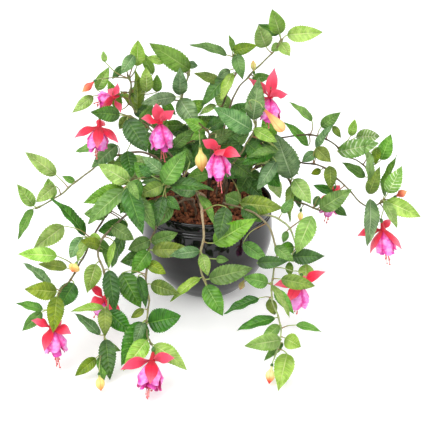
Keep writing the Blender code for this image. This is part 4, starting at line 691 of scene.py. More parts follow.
class Shader:
    """A material being built, with a short method for each kind of node it uses."""

    def __init__(self, name):
        self.material = bpy.data.materials.new(name)
        self.material.use_nodes = True
        self.tree = self.material.node_tree
        self.tree.nodes.clear()
        self.output = self.tree.nodes.new("ShaderNodeOutputMaterial")

    def node(self, kind, inputs=None, **props):
        made = self.tree.nodes.new(kind)
        for key, value in props.items():
            setattr(made, key, value)
        for key, value in (inputs or {}).items():
            if isinstance(value, bpy.types.NodeSocket):
                self.tree.links.new(value, made.inputs[key])
            else:
                made.inputs[key].default_value = value
        return made

    def math(self, operation, a, b=0.0, c=0.0):
        return self.node("ShaderNodeMath", {0: a, 1: b, 2: c}, operation=operation).outputs[0]

    def add(self, a, b):
        return self.math("ADD", a, b)

    def sub(self, a, b):
        return self.math("SUBTRACT", a, b)

    def mul(self, a, b):
        return self.math("MULTIPLY", a, b)

    def scaled(self, value, gain, offset):
        return self.math("MULTIPLY_ADD", value, gain, offset)

    def scatter(self, seed, gain):
        """Another steady number in 0..1 from a seed."""
        return self.math("FRACT", self.mul(seed, gain))

    def mix(self, amount, a, b):
        return self.node("ShaderNodeMix", {0: amount, 6: a, 7: b}, data_type="RGBA").outputs[2]

    def lay(self, tone, over, mask, strength):
        """The colour over laid on tone through a mask."""
        return self.mix(self.mul(mask, strength), tone, over)

    def step(self, value, lo, hi, start=0.0, end=1.0):
        """Smooth run from start to end while value goes from lo to hi."""
        return self.node("ShaderNodeMapRange", {0: value, 1: lo, 2: hi, 3: start, 4: end},
                         interpolation_type="SMOOTHSTEP").outputs[0]

    def uv(self):
        """Across (0..1), along (0..1) and both as a vector."""
        uv = self.node("ShaderNodeUVMap", uv_map="map").outputs[0]
        split = self.node("ShaderNodeSeparateXYZ", {0: uv})
        return split.outputs[0], split.outputs[1], uv

    def off_midline(self, x):
        """0 on the midline, 1 on either margin."""
        return self.math("ABSOLUTE", self.scaled(x, 2.0, -1.0))

    def attribute(self, name):
        return self.node("ShaderNodeAttribute", attribute_name=name).outputs[2]

    def noise(self, scale, detail=3.0):
        where = self.node("ShaderNodeTexCoord").outputs["Object"]
        return self.node("ShaderNodeTexNoise", {"Vector": where, "Scale": scale,
                                                "Detail": detail, "Roughness": 0.55}).outputs[0]

    def lines(self, uv, scale, distortion, detail, detail_scale):
        """Fine lines that run lengthwise."""
        return self.node("ShaderNodeTexWave", {
            "Vector": uv, "Scale": scale, "Distortion": distortion, "Detail": detail,
            "Detail Scale": detail_scale},
            wave_type="BANDS", bands_direction="X", wave_profile="SIN").outputs[1]

    def finish(self, colour, rough, specular, bump=None, strength=0.3, distance=0.0006,
               soft=0.0, reach=(1.0, 1.0, 1.0), **extra):
        """Close with a principled surface; soft and reach are its subsurface light."""
        inputs = {"Base Color": colour, "Roughness": rough, "Specular IOR Level": specular}
        inputs.update({key.replace("_", " "): value for key, value in extra.items()})
        if bump is not None:
            inputs["Normal"] = self.node("ShaderNodeBump", {
                "Height": bump, "Strength": strength, "Distance": distance}).outputs[0]
        if soft:
            inputs.update({"Subsurface Weight": soft, "Subsurface Radius": reach,
                           "Subsurface Scale": 0.0009})
        surface = self.node("ShaderNodeBsdfPrincipled", inputs)
        self.tree.links.new(surface.outputs[0], self.output.inputs[0])
        return self.material


# ------------------------------------------------------------------ materials
def leaf_material(name, base, pale, vein, rough, painted_sheen=0.0, soft=0.16):
    """Midrib, side veins, painted highlight on the quilted bulges between them, painted shade
    beside the veins, blotches, and a paler underside.
    """
    s = Shader(name)
    x, y, _ = s.uv()
    seed = s.attribute("seed")
    out = s.off_midline(x)
    # side veins sweep forward towards the margin
    sweep = s.mul(s.math("POWER", out, 1.25), 1.15)
    phase = s.add(s.sub(s.mul(y, 8.5), sweep), s.mul(seed, 3.0))
    cell = s.math("FRACT", phase)
    near = s.math("MINIMUM", cell, s.sub(1.0, cell))
    fade = s.step(out, lo=0.98, hi=0.66)
    side_vein = s.mul(s.step(near, lo=0.11, hi=0.0), fade)
    belly = s.mul(s.step(near, lo=0.08, hi=0.5), fade)
    rib_width = s.scaled(y, -0.055, 0.095)
    rib = s.step(s.math("DIVIDE", out, rib_width), lo=1.0, hi=0.30)
    blotch = s.noise(scale=95.0, detail=4.0)
    patch = s.noise(scale=28.0, detail=2.0)
    fine = s.noise(scale=420.0, detail=2.0)
    dark = s.mix(0.55, base, (0.006, 0.022, 0.004, 1))
    tone = s.mix(s.step(blotch, lo=0.38, hi=0.64), base, pale)
    tone = s.lay(tone, dark, s.step(patch, lo=0.50, hi=0.68), strength=0.55)
    # painted highlight: the quilted bulges between the side veins are laid lighter
    tone = s.lay(tone, s.mix(0.5, pale, vein), belly, strength=0.28)
    # painted shade: darker beside each side vein, in the grooves of the quilting
    tone = s.lay(tone, dark, s.step(near, lo=0.30, hi=0.08), strength=s.mul(fade, 0.26))
    # painted sheen: whitish stripes between the side veins, in patches, stand for a glossy
    # highlight
    if painted_sheen:
        sheen_patches = s.mul(s.step(blotch, lo=0.36, hi=0.60), s.step(patch, lo=0.30, hi=0.55))
        sheen = s.mul(s.step(near, lo=0.24, hi=0.48), sheen_patches)
        tone = s.lay(tone, lin(236, 244, 224), sheen, strength=painted_sheen)
    tone = s.lay(tone, vein, side_vein, strength=0.36)
    tone = s.lay(tone, vein, rib, strength=0.78)
    # margins a little darker, the base deeper than the tip
    edge = s.mix(0.65, tone, (0.01, 0.03, 0.005, 1))
    tone = s.lay(tone, edge, s.step(out, lo=0.90, hi=1.0), strength=0.35)
    tone = s.mix(s.step(y, lo=0.38, hi=0.0, end=0.58), tone, dark)
    # each leaf a little different
    tone = s.node("ShaderNodeHueSaturation", {
        "Hue": s.scaled(seed, 0.026, 0.474),
        "Saturation": s.scaled(s.scatter(seed, 7.3), 0.20, 1.00),
        "Value": s.scaled(s.scatter(seed, 3.7), 0.52, 0.68),
        "Fac": 1.0, "Color": tone}).outputs[0]
    under = s.attribute("under")
    tone = s.mix(under, tone, s.mix(0.45, tone, lin(138, 166, 108)))
    height = s.add(s.mul(belly, 0.75), s.mul(fine, 0.14))
    height = s.sub(height, s.mul(rib, 0.9))
    gloss = s.scaled(under, 0.15, s.scaled(fine, 0.22, rough - 0.10))
    return s.finish(tone, gloss, specular=0.40, bump=height, strength=0.75, distance=0.0010,
                    soft=soft, reach=(0.7, 1.0, 0.3))


def bark_material(name, root, tip, dark):
    s = Shader(name)
    _, y, _ = s.uv()
    coarse = s.noise(scale=160.0, detail=4.0)
    fine = s.noise(scale=900.0)
    tone = s.mix(s.step(y, lo=0.25, hi=0.95), root, tip)
    tone = s.lay(tone, dark, s.step(coarse, lo=0.48, hi=0.68), strength=0.75)
    tone = s.lay(tone, s.mix(0.5, tone, (0.5, 0.42, 0.32, 1)), s.step(fine, lo=0.5, hi=0.75),
                 strength=0.35)
    height = s.add(s.mul(coarse, 0.6), s.mul(fine, 0.4))
    return s.finish(tone, s.scaled(fine, 0.2, 0.5), specular=0.35, bump=height, strength=0.7)


def petiole_material():
    s = Shader("petiole_skin")
    _, y, _ = s.uv()
    grain = s.noise(scale=240.0)
    tone = s.mix(s.step(y, lo=0.0, hi=0.8), lin(140, 105, 70), lin(150, 175, 95))
    tone = s.lay(tone, lin(165, 90, 70), s.step(grain, lo=0.5, hi=0.7), strength=0.4)
    return s.finish(tone, rough=0.5, specular=0.35, bump=grain, distance=0.0003)


def sepal_material():
    """Crimson at the root, pink at the tip, with a darker midline."""
    s = Shader("sepal_skin")
    x, y, uv = s.uv()
    seed = s.attribute("seed")
    grain = s.noise(scale=150.0)
    line = s.lines(uv, scale=5.5, distortion=1.2, detail=2.0, detail_scale=2.0)
    along = s.add(y, s.scaled(grain, 0.30, -0.15))
    along = s.add(along, s.scaled(seed, 0.24, -0.12))
    tone = s.mix(s.step(along, lo=0.05, hi=0.55), lin(196, 0, 34), lin(246, 26, 72))
    tone = s.mix(s.step(along, lo=0.50, hi=0.95), tone, lin(255, 116, 142))
    tone = s.lay(tone, lin(158, 0, 30), line, strength=0.22)
    tone = s.mix(s.step(s.off_midline(x), lo=0.16, hi=0.0, end=0.30), tone, lin(176, 0, 30))
    tone = s.lay(tone, lin(255, 96, 128), s.attribute("under"), strength=0.6)
    return s.finish(tone, rough=0.42, specular=0.38, bump=s.add(s.mul(line, 0.5), grain),
                    strength=0.5, distance=0.0005, soft=0.35, reach=(1.0, 0.25, 0.3),
                    Sheen_Weight=0.2)


def petal_material(name, base, light, fold):
    s = Shader(name)
    x, y, uv = s.uv()
    seed = s.attribute("seed")
    out = s.off_midline(x)
    grain = s.noise(scale=190.0)
    line = s.lines(uv, scale=4.2, distortion=2.4, detail=2.5, detail_scale=1.4)
    # patches of the painted highlight colour, laid by noise
    tone = s.mix(s.step(grain, lo=0.35, hi=0.68), base, light)
    tone = s.mix(s.step(y, lo=0.38, hi=0.02, end=0.9), tone, lin(214, 16, 108))
    # painted shade: the fold colour towards the curled margins
    tone = s.lay(tone, fold, s.step(out, lo=0.42, hi=0.98), strength=s.scaled(seed, 0.2, 0.78))
    tone = s.lay(tone, fold, line, strength=0.26)
    # painted highlight: the middle of each petal laid lighter where the pouch bulges
    middle = s.mul(s.step(out, lo=0.55, hi=0.10), s.step(y, lo=0.30, hi=0.66))
    tone = s.lay(tone, light, middle, strength=0.55)
    # painted shade: the inner face in the fold colour
    tone = s.lay(tone, fold, s.attribute("under"), strength=0.75)
    return s.finish(tone, rough=0.48, specular=0.32, bump=s.add(s.mul(line, 0.6), grain),
                    strength=0.5, distance=0.0005, soft=0.40, reach=(1.0, 0.35, 0.8),
                    Sheen_Weight=0.25)


def mottled_material(name, first, second, rough, scale, strength):
    """Two colours mixed by one noise that also roughens the surface."""
    s = Shader(name)
    grain = s.noise(scale, detail=4.0)
    return s.finish(s.mix(s.step(grain, lo=0.35, hi=0.68), first, second), rough, specular=0.4,
                    bump=grain, strength=strength, distance=0.0005)


def bud_material(name, stops):
    """Colour stops (place along the bud, red, green, blue) and four seams."""
    s = Shader(name)
    x, y, _ = s.uv()
    grain = s.noise(scale=130.0)
    ramp = s.node("ShaderNodeValToRGB", {0: s.add(y, s.scaled(grain, 0.16, -0.08))})
    elements = ramp.color_ramp.elements
    while len(elements) > 1:
        elements.remove(elements[-1])
    elements[0].position = stops[0][0]
    elements[0].color = lin(*stops[0][1:])
    for position, *colour in stops[1:]:
        elements.new(position).color = lin(*colour)
    seam = s.math("COSINE", s.mul(x, 8 * math.pi))
    tone = s.lay(ramp.outputs[0], lin(225, 110, 60), s.step(seam, lo=0.75, hi=1.0),
                 strength=0.35)
    return s.finish(tone, rough=0.40, specular=0.4, bump=s.add(seam, grain), strength=0.25,
                    distance=0.0004, soft=0.25, reach=(1.2, 0.8, 0.4))


def glaze_material():
    s = Shader("black_glaze_gloss")
    cloud = s.noise(scale=9.0, detail=4.0)
    fine = s.noise(scale=340.0)
    tone = s.mix(s.step(cloud, lo=0.35, hi=0.7),
                 (0.0030, 0.0030, 0.0036, 1), (0.0055, 0.0055, 0.0066, 1))
    return s.finish(tone, s.scaled(cloud, 0.05, 0.05), specular=0.5, bump=fine, strength=0.02,
                    distance=0.0002, IOR=1.46)


def granule_material():
    s = Shader("clay_granule_skin")
    coarse = s.noise(scale=300.0, detail=4.0)
    fine = s.noise(scale=1400.0)
    tone = s.mix(s.attribute("seed"), lin(104, 54, 34), lin(170, 104, 66))
    tone = s.mix(s.step(coarse, lo=0.48, hi=0.74), tone, lin(60, 28, 18))
    tone = s.lay(tone, lin(190, 124, 88), s.step(fine, lo=0.55, hi=0.75), strength=0.4)
    return s.finish(tone, rough=0.72, specular=0.3, bump=s.add(coarse, fine), strength=0.8)


def floor_material():
    s = Shader("floor_white")
    tone = s.mix(s.noise(scale=1.3, detail=2.0), (0.90, 0.90, 0.90, 1), (0.925, 0.925, 0.925, 1))
    return s.finish(tone, rough=0.75, specular=0.15, Emission_Color=(1.0, 1.0, 1.0, 1.0),
                    Emission_Strength=0.24)


# base, pale and vein colours
# L and O are laid paler for painted backlight and D darker for painted shade: lit and shaded
# copies of one leaf
TONES = {
    "L": leaf_material("leaf_lime", lin(122, 170, 70), lin(168, 208, 116), lin(218, 234, 172),
                       rough=0.42, soft=0.40),
    "M": leaf_material("leaf_mid", lin(74, 128, 46), lin(116, 166, 80), lin(168, 204, 128),
                       rough=0.40),
    "D": leaf_material("leaf_deep", lin(42, 94, 30), lin(74, 132, 54), lin(126, 172, 92),
                       rough=0.38, soft=0.18),
    "O": leaf_material("leaf_olive", lin(90, 126, 32), lin(134, 162, 60), lin(182, 202, 118),
                       rough=0.42),
    "B": leaf_material("leaf_glaucous", lin(72, 120, 64), lin(128, 168, 110),
                       lin(188, 214, 168), rough=0.35),
    "S": leaf_material("leaf_striped", lin(92, 148, 62), lin(136, 184, 98), lin(212, 230, 174),
                       rough=0.36, painted_sheen=0.85),
}
# root, tip and dark colours
BARKS = {
    "sage": bark_material("bark_sage", lin(134, 122, 92), lin(166, 186, 124), lin(104, 92, 60)),
    "grey": bark_material("bark_grey", lin(132, 112, 92), lin(134, 142, 88), lin(78, 60, 46)),
    "dark": bark_material("bark_dark", lin(74, 52, 36), lin(112, 106, 62), lin(38, 26, 18)),
    "pale": bark_material("bark_pale", lin(178, 152, 124), lin(150, 146, 102),
                          lin(120, 92, 70)),
}
PETIOLE = petiole_material()
SEPAL = sepal_material()
# base, light and fold colours: light is a painted highlight, fold is a painted shade for the
# margins and the inner face and also colours lengthwise streaks
PETAL = petal_material("petal_orchid", lin(244, 72, 190), lin(255, 178, 244), lin(222, 10, 128))
# a darker copy of the petal colours for the inner petals in the mouth: painted shade
PETAL_IN = petal_material("petal_orchid_inner", lin(216, 34, 158), lin(246, 104, 208),
                          lin(172, 0, 96))
FILAMENT = mottled_material("filament_salmon", lin(240, 104, 112), lin(255, 160, 150),
                            rough=0.5, scale=200.0, strength=0.2)
ANTHER = mottled_material("anther_dusk", lin(196, 70, 90), lin(240, 140, 130),
                          rough=0.7, scale=500.0, strength=0.5)
OVARY = mottled_material("ovary_green", lin(42, 84, 30), lin(92, 136, 60),
                         rough=0.45, scale=220.0, strength=0.3)
STALK = mottled_material("stalk_green", lin(138, 170, 92), lin(172, 182, 118),
                         rough=0.5, scale=200.0, strength=0.3)
BUD_SKINS = {name: bud_material("bud_" + name, stops) for name, stops in {
    "cream": [(0.0, 96, 140, 60), (0.14, 168, 190, 96), (0.26, 246, 236, 150),
              (0.62, 252, 224, 132), (0.80, 246, 168, 92), (0.95, 236, 96, 70)],
    "pale": [(0.0, 160, 176, 90), (0.12, 240, 226, 130), (0.34, 252, 238, 150),
             (0.56, 252, 216, 122), (0.74, 247, 176, 96), (0.90, 240, 118, 84),
             (1.0, 226, 80, 70)],
    "peach": [(0.0, 150, 150, 80), (0.10, 240, 120, 90), (0.26, 252, 176, 110),
              (0.50, 255, 214, 142), (0.74, 252, 190, 116), (0.92, 246, 148, 88),
              (1.0, 238, 110, 78)],
    "green": [(0.0, 110, 150, 70), (0.20, 190, 200, 116), (0.55, 220, 220, 140),
              (0.85, 222, 186, 100), (1.0, 206, 130, 74)],
    "coral": [(0.0, 196, 84, 70), (0.18, 230, 90, 90), (0.50, 240, 120, 92),
              (0.80, 245, 168, 110), (1.0, 248, 206, 140)],
    "red_tip": [(0.0, 150, 170, 90), (0.15, 254, 246, 190), (0.56, 254, 236, 164),
                (0.70, 246, 160, 96), (0.83, 226, 44, 44), (1.0, 196, 10, 40)],
    "olive": [(0.0, 120, 120, 60), (0.25, 150, 150, 84), (0.6, 170, 158, 100),
              (0.85, 150, 104, 70), (1.0, 130, 70, 50)],
}.items()}
GLAZE = glaze_material()
GRANULE = granule_material()


# ------------------------------------------------------------------ stems with their leaves
LEAF_ROWS, LEAF_HALF_COLS = 30, 5
BLADE_THICK = 0.00034
STEM_SLOT, PETIOLE_SLOT, TONE_SLOT = 0, 1, 2
OLIVE_SLOT = TONE_SLOT + len(TONES)


def leaf_blade(skins, leaf, slot, seed, number):
    """A toothed, folded and quilted blade; number varies its shape."""
    base, normal = arr(leaf.base), arr(leaf.normal)
    axis = arr(leaf.tip) - base
    length = float(np.linalg.norm(axis))
    axis /= length
    side = np.cross(axis, normal)
    width = leaf.width
    fold = 0.10 + 0.22 * rnd(number, 1)
    wave = 0.010 + 0.018 * rnd(number, 2)
    twist = (rnd(number, 3) - 0.5) * 0.30
    sag = (rnd(number, 4) - 0.5) * 0.030
    ribs = 6.5 + 1.5 * rnd(number, 5)
    rows = np.linspace(0.0, 1.0, LEAF_ROWS + 1) ** 0.92
    outline = (rows ** 0.60) * ((1 - rows) ** (0.92 + 0.25 * rnd(number, 6)))
    outline = outline / outline.max()
    half = np.maximum(0.5 * width * outline, 0.00045 * (1 - rows))
    T, U = np.meshgrid(rows, np.linspace(-1, 1, 2 * LEAF_HALF_COLS + 1), indexing="ij")
    out = np.abs(U)
    tooth = np.where(np.arange(LEAF_ROWS + 1) % 2 == 1, 1.0, -0.4)[:, None] * (out > 0.99)
    half = half[:, None] * (1 + 0.075 * tooth * smooth(0.06, 0.2, T)
                            * (1 - smooth(0.9, 1.0, T)))
    arch = 0.212 * T * (1 - T) + sag * np.sin(math.pi * T) - 0.02 * T ** 3 * (1 - T)
    centre = base + axis * (length * T[..., None]) + normal * (arch * length)[..., None]
    lift = (fold * np.sqrt(out ** 2 + 0.01) - fold * 0.1) * (1 - 0.35 * T)
    phase = T * (ribs + 1.5) - 1.15 * out ** 1.25
    quilt = (np.sin(math.pi * (phase - np.floor(phase))) ** 0.7 * (1 - out ** 3)
             * np.minimum(out * 4, 1) * 0.042 * width
             * smooth(0.0, 0.15, T) * (1 - smooth(0.85, 1.0, T)))
    ruffle = (wave * width * np.sin(T * 15 + 6 * rnd(number, 7) + (U > 0) * 1.7)
              * out ** 2 * 2.0)
    rise = (half * lift + quilt + ruffle - 0.00022 * (out < 0.05))[..., None]
    reach = (half * U * np.cos(fold * 0.6))[..., None]
    angle = (twist * (T - 0.3))[..., None]
    cos, sin = np.cos(angle), np.sin(angle)
    grid = centre + (side * cos + normal * sin) * reach + (normal * cos - side * sin) * rise
    skins.shell(grid, np.stack([0.5 + 0.5 * U, T], -1), slot, seed, BLADE_THICK)


def stem_skin(skins, stem, number, joints):
    """The stem's own bark: slightly wavering, swollen at each joint, closed by a small tip."""
    fine = stem.fine
    total = len(fine) - 1
    root_radius, tip_radius = stem.ends
    radii = []
    for k in range(total + 1):
        share = k / total
        r = root_radius + (tip_radius - root_radius) * share ** 0.8
        r *= 1 + 0.06 * math.sin(k * 0.9 + number) + 0.05 * math.sin(k * 0.37 + 2 * number)
        for joint in joints:
            distance = (share - joint) * total * FINE_STEP
            r *= 1 + 0.35 * math.exp(-(distance / 0.0022) ** 2)
        radii.append(r)
    path = [p + Vector((math.sin(k * 0.8 + number), math.cos(k * 0.63 + number),
                        math.sin(k * 0.51))) * (0.00035 if 2 < k < total - 1 else 0.0)
            for k, p in enumerate(fine)]
    end_way = (fine[-1] - fine[-2]).normalized()
    for ahead, share in ((0.0012, 1.25), (0.0026, 0.95), (0.0036, 0.12)):
        path.append(fine[-1] + end_way * ahead)
        radii.append(tip_radius * share)
    skins.tube(path, radii, 9, STEM_SLOT, rnd(number), lobes=3, depth=0.05)


def hanging_twig(skins, joint, socket, seed):
    """The twig from a stem to the socket of a flower or bud."""
    gap = (socket - joint).length
    if gap < 0.0008:
        return
    middle = joint.lerp(socket, 0.5) + Vector((0, 0, 1)) * (gap * 0.06)
    path = spline([joint, middle, socket], max(gap / 8, 0.0015))
    radii = [0.00105 - 0.0003 * (k / max(1, len(path) - 1)) for k in range(len(path))]
    radii[-1] = 0.0010
    skins.tube(path, radii, 7, STEM_SLOT, seed, v0=0.6, v1=0.95)


def petiole(skins, joint, leaf, seed):
    """The leaf's own stalk from the stem to the foot of its blade."""
    axis = (leaf.tip - leaf.base).normalized()
    gap = (leaf.base - joint).length
    if gap <= 0.0006:
        return
    bow = leaf.base - axis * (gap * 0.22)
    path = spline([joint, joint.lerp(bow, 0.55) + leaf.normal * (gap * 0.03), leaf.base,
                   leaf.base + axis * 0.0015], max(gap / 9, 0.0012))
    radii = [0.00100 - 0.00030 * (k / (len(path) - 1)) for k in range(len(path))]
    skins.tube(path, radii, 6, PETIOLE_SLOT, seed)


def moulded_bud(skins):
    """A small green bud low against the pot, moulded with the front right stem."""
    neck, tip = place(243.5, 281, -156), place(239.5, 291, -156)
    way = (tip - neck).normalized()
    path = spline([place(272, 285, -168), place(258, 281, -160), place(247, 279, -156),
                   neck + way * 0.0004], 0.003)
    skins.tube(path, [0.0007] * len(path), 6, PETIOLE_SLOT, 0.3)
    profile = [(-0.0008, 0.0006), (0.0002, 0.0014), (0.0014, 0.0017), (0.0028, 0.0024),
               (0.0050, 0.0038), (0.0076, 0.0046), (0.0100, 0.0042), (0.0122, 0.0028),
               (0.0140, 0.0013), (0.0152, 0.0002)]
    skins.turned(neck, way, profile, 16, OLIVE_SLOT, 0.4, lobes=4, depth=0.04)


def make_stem(stem, number):
    tree = corners_of(stem.name)
    leaves = []      # (index, tone, frame, joint on the stem)
    shares = []
    for i, leaf in enumerate(stem.leaves):
        hold = stem.nearest(*leaf[:2], i)
        found = settled_leaf(stem, hold, leaf, tree)
        if found:
            joint, share = on_path(stem.fine, hold)
            shares.append(share)
            leaves.append((i, leaf[5], found, joint))
    twigs = []       # (joint on the stem, socket)
    for item in FLOWERS + BUDS:
        if item.stem == stem.name:
            joint, share = on_path(stem.fine, stem.nearest(*item.socket[:2], 5))
            shares.append(share)
            twigs.append((joint, hang_points(item)[0]))

    skins = Skins()
    stem_skin(skins, stem, number, shares)
    for i, tone, leaf, joint in leaves:
        petiole(skins, joint, leaf, rnd(number, i, 9))
        leaf_blade(skins, leaf, TONE_SLOT + list(TONES).index(tone), rnd(number, i, 3),
                   number * 37 + i)
    for i, (joint, socket) in enumerate(twigs, 100 + len(leaves)):
        hanging_twig(skins, joint, socket, rnd(number, i))
    materials = [BARKS[stem.bark], PETIOLE, *TONES.values()]
    if stem.name == "stem_front_right":
        moulded_bud(skins)
        materials.append(BUD_SKINS["olive"])
    carry(skins.object(stem.name + "_fine", materials, SKIN_LOW), stem.name)


# ------------------------------------------------------------------ flowers
OVARY_BACK = 0.018           # the ovary starts this far behind the neck
SEPAL_THICK, PETAL_THICK = 0.00042, 0.00036
# corolla radius (m, at size 1) against the share of its length
RING_SHARES = np.array([0.0, 0.22, 0.60, 1.0, 1.25])
RING_RADII = np.array([0.0018, 0.0090, 0.0162, 0.0140, 0.0135])
WAYS, LEVELS = 36, 9         # directions and heights at which the room is looked up

# (distance along the axis, radius) at size 1
OVARY_PROFILE = [(0.0016, 0.0021), (0.0032, 0.0024), (0.0050, 0.0021), (0.0066, 0.0016)]
CALYX_TUBE = [(0.0062, 0.0015), (0.0074, 0.0019), (0.0100, 0.0023), (0.0130, 0.0027),
              (0.0160, 0.0034), (0.0184, 0.0041)]


def scaled_profile(profile, along, radial):
    return [(along * z, radial * r) for z, r in profile]


def sepal(skins, flower, i, seed):
    """A pointed sepal arched over the petals, its tip turned up a little."""
    root, bulge, tip, _, across, length = sepal_line(flower, i)
    size = flower.size
    rows, half = 20, 5
    along = np.linspace(0, 1, rows + 1) ** 0.94
    t = along[:, None]
    start, middle, end = arr(root), arr(bulge), arr(tip)
    pull = 2 * middle - 0.5 * (start + end)
    line = (1 - t) ** 2 * start + 2 * t * (1 - t) * pull + t ** 2 * end
    tangent = np.gradient(line, axis=0)
    tangent /= np.linalg.norm(tangent, axis=1)[:, None]
    side = arr(across)
    normal = np.cross(side, tangent)
    curl = (0.02 + 0.07 * rnd(seed, i, 3)) * length * np.clip((t - 0.62) / 0.38, 0, 1) ** 2
    line = line + normal * curl
    widest = min(0.0056 * size, 0.17 * length) * (1.34 + 0.16 * rnd(seed, i))
    body = np.sin(math.pi * np.clip(0.10 + 0.90 * along, 0, 1) ** 1.08) ** 0.85
    width = widest * np.maximum(body, 0.0) * (1 - 0.35 * smooth(0.70, 1.0, along))
    width = np.maximum(width, 0.0018 * size * (1 - smooth(0.0, 0.35, along)))
    width = np.maximum(width, 0.00035 * (1 - along))[:, None]
    T, U = np.meshgrid(along, np.linspace(-1, 1, 2 * half + 1), indexing="ij")
    # an open sepal turns its face a little to the front, one that lies on the petals does not
    _, neck, stamen = flower_points(flower)
    opened = (tip - root).normalized().angle((stamen - neck).normalized())
    view = arr(swing(EYE, STEM_NAMED[flower.stem].turn)) - middle
    turn = math.atan2(-float(view @ side), float(view @ normal[rows // 2]))
    if abs(turn) > math.pi / 2:
        turn -= math.copysign(math.pi, turn)
    turn = max(-0.95, min(0.95, 0.75 * turn)) * float(smooth(0.55, 1.15, opened))
    twist = (turn * smooth(0.05, 0.50, T) + (rnd(seed, i, 5) - 0.5) * 0.4 * T)[..., None]
    cup = -(0.46 - 0.50 * T) * np.abs(U) ** 1.7
    ruffle = 0.06 * np.sin(T * 9 + 5 * rnd(seed, i, 2)) * U
    rise = width * (cup + ruffle) - 0.00030 * np.exp(-(U / 0.14) ** 2) * (1 - T)
    cos, sin = np.cos(twist), np.sin(twist)
    normal = normal[:, None, :]
    grid = (line[:, None, :] + (side * cos + normal * sin) * (width * U)[..., None]
            + (normal * cos - side * sin) * rise[..., None])
    skins.shell(grid, np.stack([0.5 + 0.5 * U, T], -1), 3, rnd(seed, i, 7), SEPAL_THICK)


def make_calyx(flower, number, socket, neck, axis):
    """Stalk, ovary, tube and four sepals."""
    size = flower.size
    start = neck - axis * (OVARY_BACK * size)
    gap = (start - socket).length
    skins = Skins()
    stalk = spline([socket, socket.lerp(start, 0.5) + Vector((0, 0, 1)) * (gap * 0.10),
                    start + axis * 0.0005], max(gap / 8, 0.002))
    radii = [0.00070 + 0.0002 * (q / (len(stalk) - 1)) for q in range(len(stalk))]
    skins.tube(stalk, radii, 7, 0, rnd(number))
    ovary = [(-0.0004, 0.0004), (0.0002, 0.0013 * size)]
    ovary += scaled_profile(OVARY_PROFILE, size, size)
    skins.turned(start, axis, ovary, 12, 1, rnd(number, 2), lobes=4, depth=0.06)
    skins.turned(start, axis, scaled_profile(CALYX_TUBE, size, size), 16, 2, rnd(number, 3),
                 lobes=4, depth=0.10, v1=0.3)
    for i in range(4):
        sepal(skins, flower, i, number * 11 + 3)
    name = flower.name + "_calyx"
    carry(skins.object(name + "_fine", [STALK, OVARY, SEPAL, SEPAL], SKIN_LOW), name)


def room_under(sepals, neck, axis, height, way):
    """How far out from the axis a petal may stand at a height in a direction."""
    room = 1.0
    for root, bulge, tip, out, _, _ in sepals:
        if way.dot(out) < 0.55:
            continue
        for start, end in ((root, bulge), (bulge, tip)):
            z0, z1 = (start - neck).dot(axis), (end - neck).dot(axis)
            if min(z0, z1) <= height <= max(z0, z1) and abs(z1 - z0) > 1e-6:
                point = start.lerp(end, (height - z0) / (z1 - z0))
                room = min(room, (point - neck).dot(out))
    return room


def room_table(flower, neck, axis, side, third, length):
    """Room under the sepals for every direction and height of the corolla."""
    sepals = [sepal_line(flower, i) for i in range(4)]
    room = np.ones((LEVELS, WAYS))
    for q in range(WAYS):
        angle = 2 * math.pi * q / WAYS
        way = side * math.cos(angle) + third * math.sin(angle)
        for z in range(LEVELS):
            room[z, q] = room_under(sepals, neck, axis, length * 1.25 * z / (LEVELS - 1), way)
    # neighbours ease the edges of the table
    soft = np.minimum(room, np.minimum(np.roll(room, 1, 1), np.roll(room, -1, 1)))
    return np.where(room < 0.5, room, np.where(soft < 0.5, soft * 1.15, 1.0))


def room_at(room, heights, angles, length):
    """Room looked up between the table's entries."""
    z = np.clip(heights / (length * 1.25), 0, 1) * (LEVELS - 1)
    a = (angles / (2 * math.pi) * WAYS) % WAYS
    z0 = np.minimum(z.astype(int), LEVELS - 2)
    a0 = a.astype(int) % WAYS
    a1 = (a0 + 1) % WAYS
    fz, fa = z - z0, a - np.floor(a)
    near = np.minimum(room, 0.05)
    return (near[z0, a0] * (1 - fz) * (1 - fa) + near[z0 + 1, a0] * fz * (1 - fa)
            + near[z0, a1] * (1 - fz) * fa + near[z0 + 1, a1] * fz * fa)


